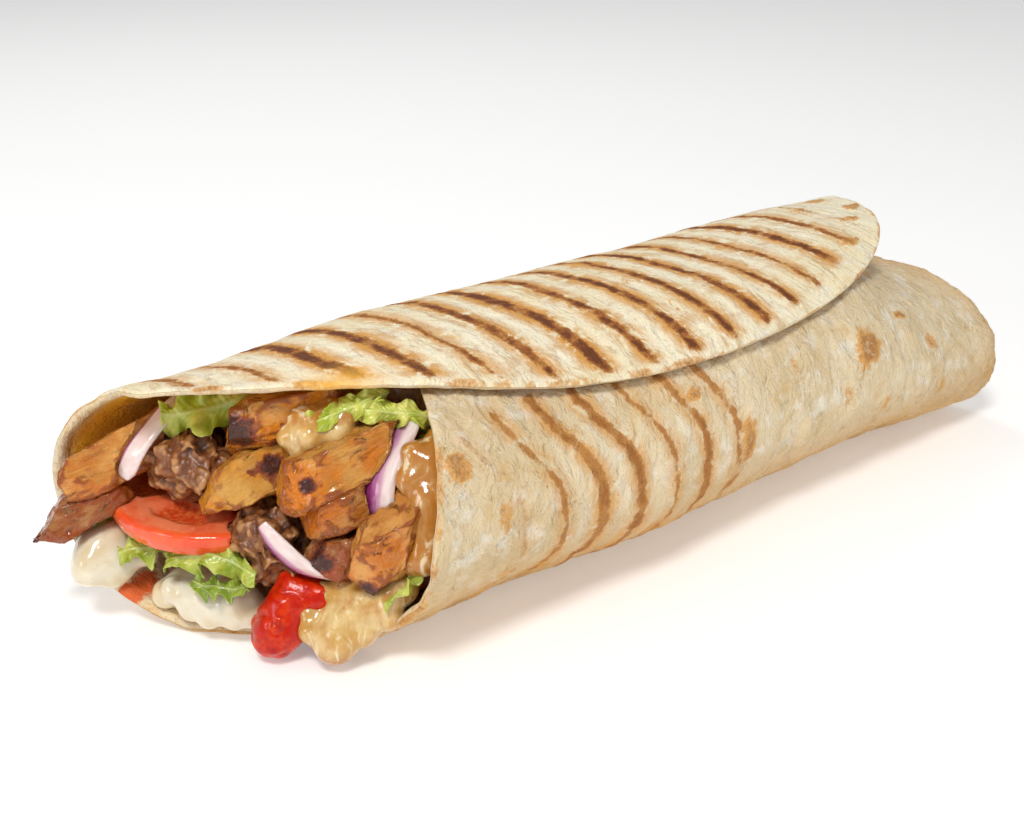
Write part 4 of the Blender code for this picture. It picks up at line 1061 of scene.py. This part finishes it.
def build_lettuce(node, points, across, width, frill, bright, seed, paint):
    """A shred of leaf: thin, ruffled more at its rims, with a pale rib and side veins."""
    stations, steps = 96, 40
    spine = path_points(points, stations)
    along = np.gradient(spine, axis=0)
    along /= np.linalg.norm(along, axis=1, keepdims=True)
    across = np.array(across) / np.linalg.norm(across)
    normal = np.cross(along, across)
    normal /= np.linalg.norm(normal, axis=1, keepdims=True)
    k = np.linspace(0, 10, stations)[:, None]
    v = np.linspace(-0.5, 0.5, steps)[None, :]
    narrow = 0.45 + 0.55 * np.sin(math.pi * (0.08 + 0.084 * k)) ** 0.6
    sway = 0.16 * np.sin(1.9 * k + 2.3 * seed)
    rows = k * np.array([MM, 0.0, 0.0])
    left, right = (noise_at(rows, 1.9, seed + s) + 0.35 * noise_at(rows, 0.7, seed + s) for s in (0.3, 0.7))
    ragged = 1 + 0.36 * np.where(v < 0, left[:, None], right[:, None])
    wave = np.sin(1.35 * k + seed) * np.abs(v + 0.15) * 2.2
    drift = 1.4 * noise_at(rows, 2.0, seed + 0.9)[:, None]
    ruffle = 1.3 * np.sin(3.1 * k + 2.2 * seed + 3 * v + drift) * np.abs(v) ** 1.5 * 2.6
    ruffle = ruffle + 0.4 * np.sin(7.3 * k + seed + 2 * drift) * np.abs(v) ** 2 * 3
    cup = 1.2 * (v * v - 0.1)
    reach = (v * ragged + sway * np.abs(v) * 2) * width * narrow * MM
    curl = 1.3 * np.abs(v) ** 3 * 8 * np.sin(2.6 * k + 1.7 * seed)
    lift = frill * (wave + cup + 0.75 * ruffle + 0.6 * curl) * MM
    rib = np.exp(-(v / 0.05) ** 2)
    slant = np.abs(((k * 0.8 + np.abs(v) * 2.6 + drift * 0.4) % 1.0) - 0.5) * 2
    side_veins = np.clip((0.22 - slant) / 0.22, 0, 1) * smoothstep(0.03, 0.10, np.abs(v))
    vein = np.maximum(0.8 * rib, 0.35 * side_veins) + 0 * k
    puff = 0.16 * MM * (1 - vein) * np.sin(math.pi * slant)
    grid = spine[:, None, :] + across * reach[..., None] + normal[:, None, :] * (lift + puff)[..., None]
    tip = np.abs(v) * 2 + 0 * k
    thick = (0.34 + 0.22 * rib - 0.16 * tip) * MM
    shift = grid_normals(grid) * (thick / 2)[..., None]
    top, bottom = grid + shift, grid - shift
    verts = np.concatenate((top.reshape(-1, 3), bottom.reshape(-1, 3)))
    half = stations * steps
    at = np.arange(half).reshape(stations, steps)
    rim = np.concatenate((at[:, 0], at[-1, 1:], at[-2::-1, -1], at[0, -2::-1]))
    faces = bridge(at[:-1], at[1:]) + bridge(at[1:] + half, at[:-1] + half) + bridge(rim, rim + half)
    mesh = closed_mesh(node + "_leaf", verts, faces)
    add_attributes(mesh, vein=np.tile(vein.ravel(), 2), bright=np.full(2 * half, bright))
    return new_piece(node + "_leaf", mesh, paint, [node])


# The mixed filling's colours, over a number from 0 to 1 that each lump has
FILLING_COLOURS = ((0.0, (0.10, 0.04, 0.02)), (0.35, (0.34, 0.13, 0.035)), (0.6, (0.52, 0.25, 0.07)),
                   (0.8, (0.40, 0.20, 0.05)), (0.92, (0.24, 0.22, 0.05)), (1.0, (0.5, 0.06, 0.02)))


def filling_paint():
    paint = Paint("mixed_filling", roughness=0.4, specular=0.45)
    hue = paint.node("ShaderNodeSeparateColor", {"Color": paint.cells(6.5, "Color")})
    ramp = paint.node("ShaderNodeValToRGB", {"Fac": hue.outputs["Red"]})
    points = ramp.color_ramp.elements
    while len(points) < len(FILLING_COLOURS):
        points.new(0.5)
    for point, (where, colour) in zip(points, FILLING_COLOURS):
        point.position = where
        point.color = (*colour, 1.0)
    base = ramp.outputs["Color"]
    mottle = paint.noise(2.4, 4.0, 0.65)
    base = paint.over(base, (0.12, 0.04, 0.015), mottle, 0.4, 0.7, 0.0, 0.7)
    normal = paint.bump(mottle, 0.8, 0.8)
    return paint.finish(base, normal, subsurface=0.1, scale=1.5, coat=0.3, coat_roughness=0.2)


def build_filling():
    mesh, points = fine_copy("filling", 1.0 * MM, 2, "mixed_filling")
    front = 1 - rise(-78, -50, points[:, 0])
    push = 1.3 * noise_at(points, 5.5, 61.0) + 0.5 * noise_at(points, 2.2, 62.0)
    points = pushed(mesh, points, push * front)
    write_points(mesh, points)
    return new_piece("mixed_filling", mesh, filling_paint(), ["filling"])


def floor_paint():
    paint = Paint("pale_floor", roughness=0.6, specular=0.2)
    paint.shader.inputs["Emission Color"].default_value = (1.0, 1.0, 1.0, 1.0)
    paint.shader.inputs["Emission Strength"].default_value = 0.24
    shade = paint.noise(400, 2.0)
    return paint.finish(paint.mix(shade, (0.90, 0.90, 0.90), (0.92, 0.92, 0.92)))


def build_floor():
    bm = bmesh.new()
    bmesh.ops.create_grid(bm, x_segments=8, y_segments=8, size=2.5)
    mesh = bpy.data.meshes.new("floor")
    bm.to_mesh(mesh)
    bm.free()
    mesh.materials.append(floor_paint())
    floor = bpy.data.objects.new("floor", mesh)
    floor.location = (0.0, 0.0, -0.00005)
    bpy.context.scene.collection.objects.link(floor)


def aim(obj, target):
    direction = Vector(target) - obj.location
    obj.rotation_euler = direction.to_track_quat("-Z", "Y").to_euler()


def add_light(name, place, target, size, watts, colour=(1, 1, 1)):
    data = bpy.data.lights.new(name, "AREA")
    data.shape = "DISK"
    data.size = size
    data.energy = watts
    data.color = colour
    light = bpy.data.objects.new(name, data)
    light.location = place
    bpy.context.scene.collection.objects.link(light)
    aim(light, target)


def build_lights():
    add_light("key", (-0.45, -0.30, 0.75), (-0.02, 0.0, 0.03), 0.22, 4.3, (1.0, 0.985, 0.955))
    add_light("fill", (0.15, -0.85, 0.35), (0.0, 0.0, 0.02), 0.8, 1.0)
    add_light("mouth", (-0.68, 0.02, 0.24), (-0.09, 0.0, 0.03), 0.22, 0.55)
    add_light("back", (0.20, 0.60, 0.75), (0.0, 0.0, 0.03), 0.4, 1.6)
    world = bpy.data.worlds.new("studio")
    world.use_nodes = True
    sky = world.node_tree.nodes["Background"]
    sky.inputs["Color"].default_value = (1.0, 1.0, 1.0, 1.0)
    sky.inputs["Strength"].default_value = 0.38
    bpy.context.scene.world = world
    bpy.context.scene.view_settings.view_transform = "Standard"


def build_camera():
    data = bpy.data.cameras.new("camera")
    data.lens = CAMERA_LENS
    data.sensor_width = 36.0
    data.clip_start = 0.01
    camera = bpy.data.objects.new("camera", data)
    forward = Vector(CAMERA_LOOK).normalized()
    right = Vector(CAMERA_RIGHT).normalized()
    up = right.cross(forward)
    turn = Matrix((right, up, -forward)).transposed().to_4x4()
    camera.matrix_world = Matrix.Translation(CAMERA_PLACE) @ turn
    bpy.context.scene.collection.objects.link(camera)
    bpy.context.scene.camera = camera


def build_wrap():
    build_bread()
    build_filling()
    for k, node in enumerate(CHICKEN_LOOKS):
        build_chicken(node, 10.0 * k + 5)
    meat = meat_paint()
    build_meat("meat_1", 3.0, meat)
    build_meat("meat_2", 4.0, meat)
    build_tomato()
    onion = onion_paint()
    for node in ONION_SKIN:
        build_onion(node, onion)
    white, cheese = white_sauce_paint(), cheese_paint()
    for k, node in enumerate(("white_sauce_1", "white_sauce_2")):
        build_sauce(node, white, 70.0 + k)
    build_sauce("red_sauce", red_sauce_paint(), 75.0)
    for k, node in enumerate(("cheese_1", "cheese_2", "cheese_3")):
        build_sauce(node, cheese, 80.0 + k)
    lettuce = lettuce_paint()
    for k, row in enumerate(LETTUCE):
        build_lettuce(*row, k, lettuce)


build_camera()
build_lights()
build_floor()
build_wrap()
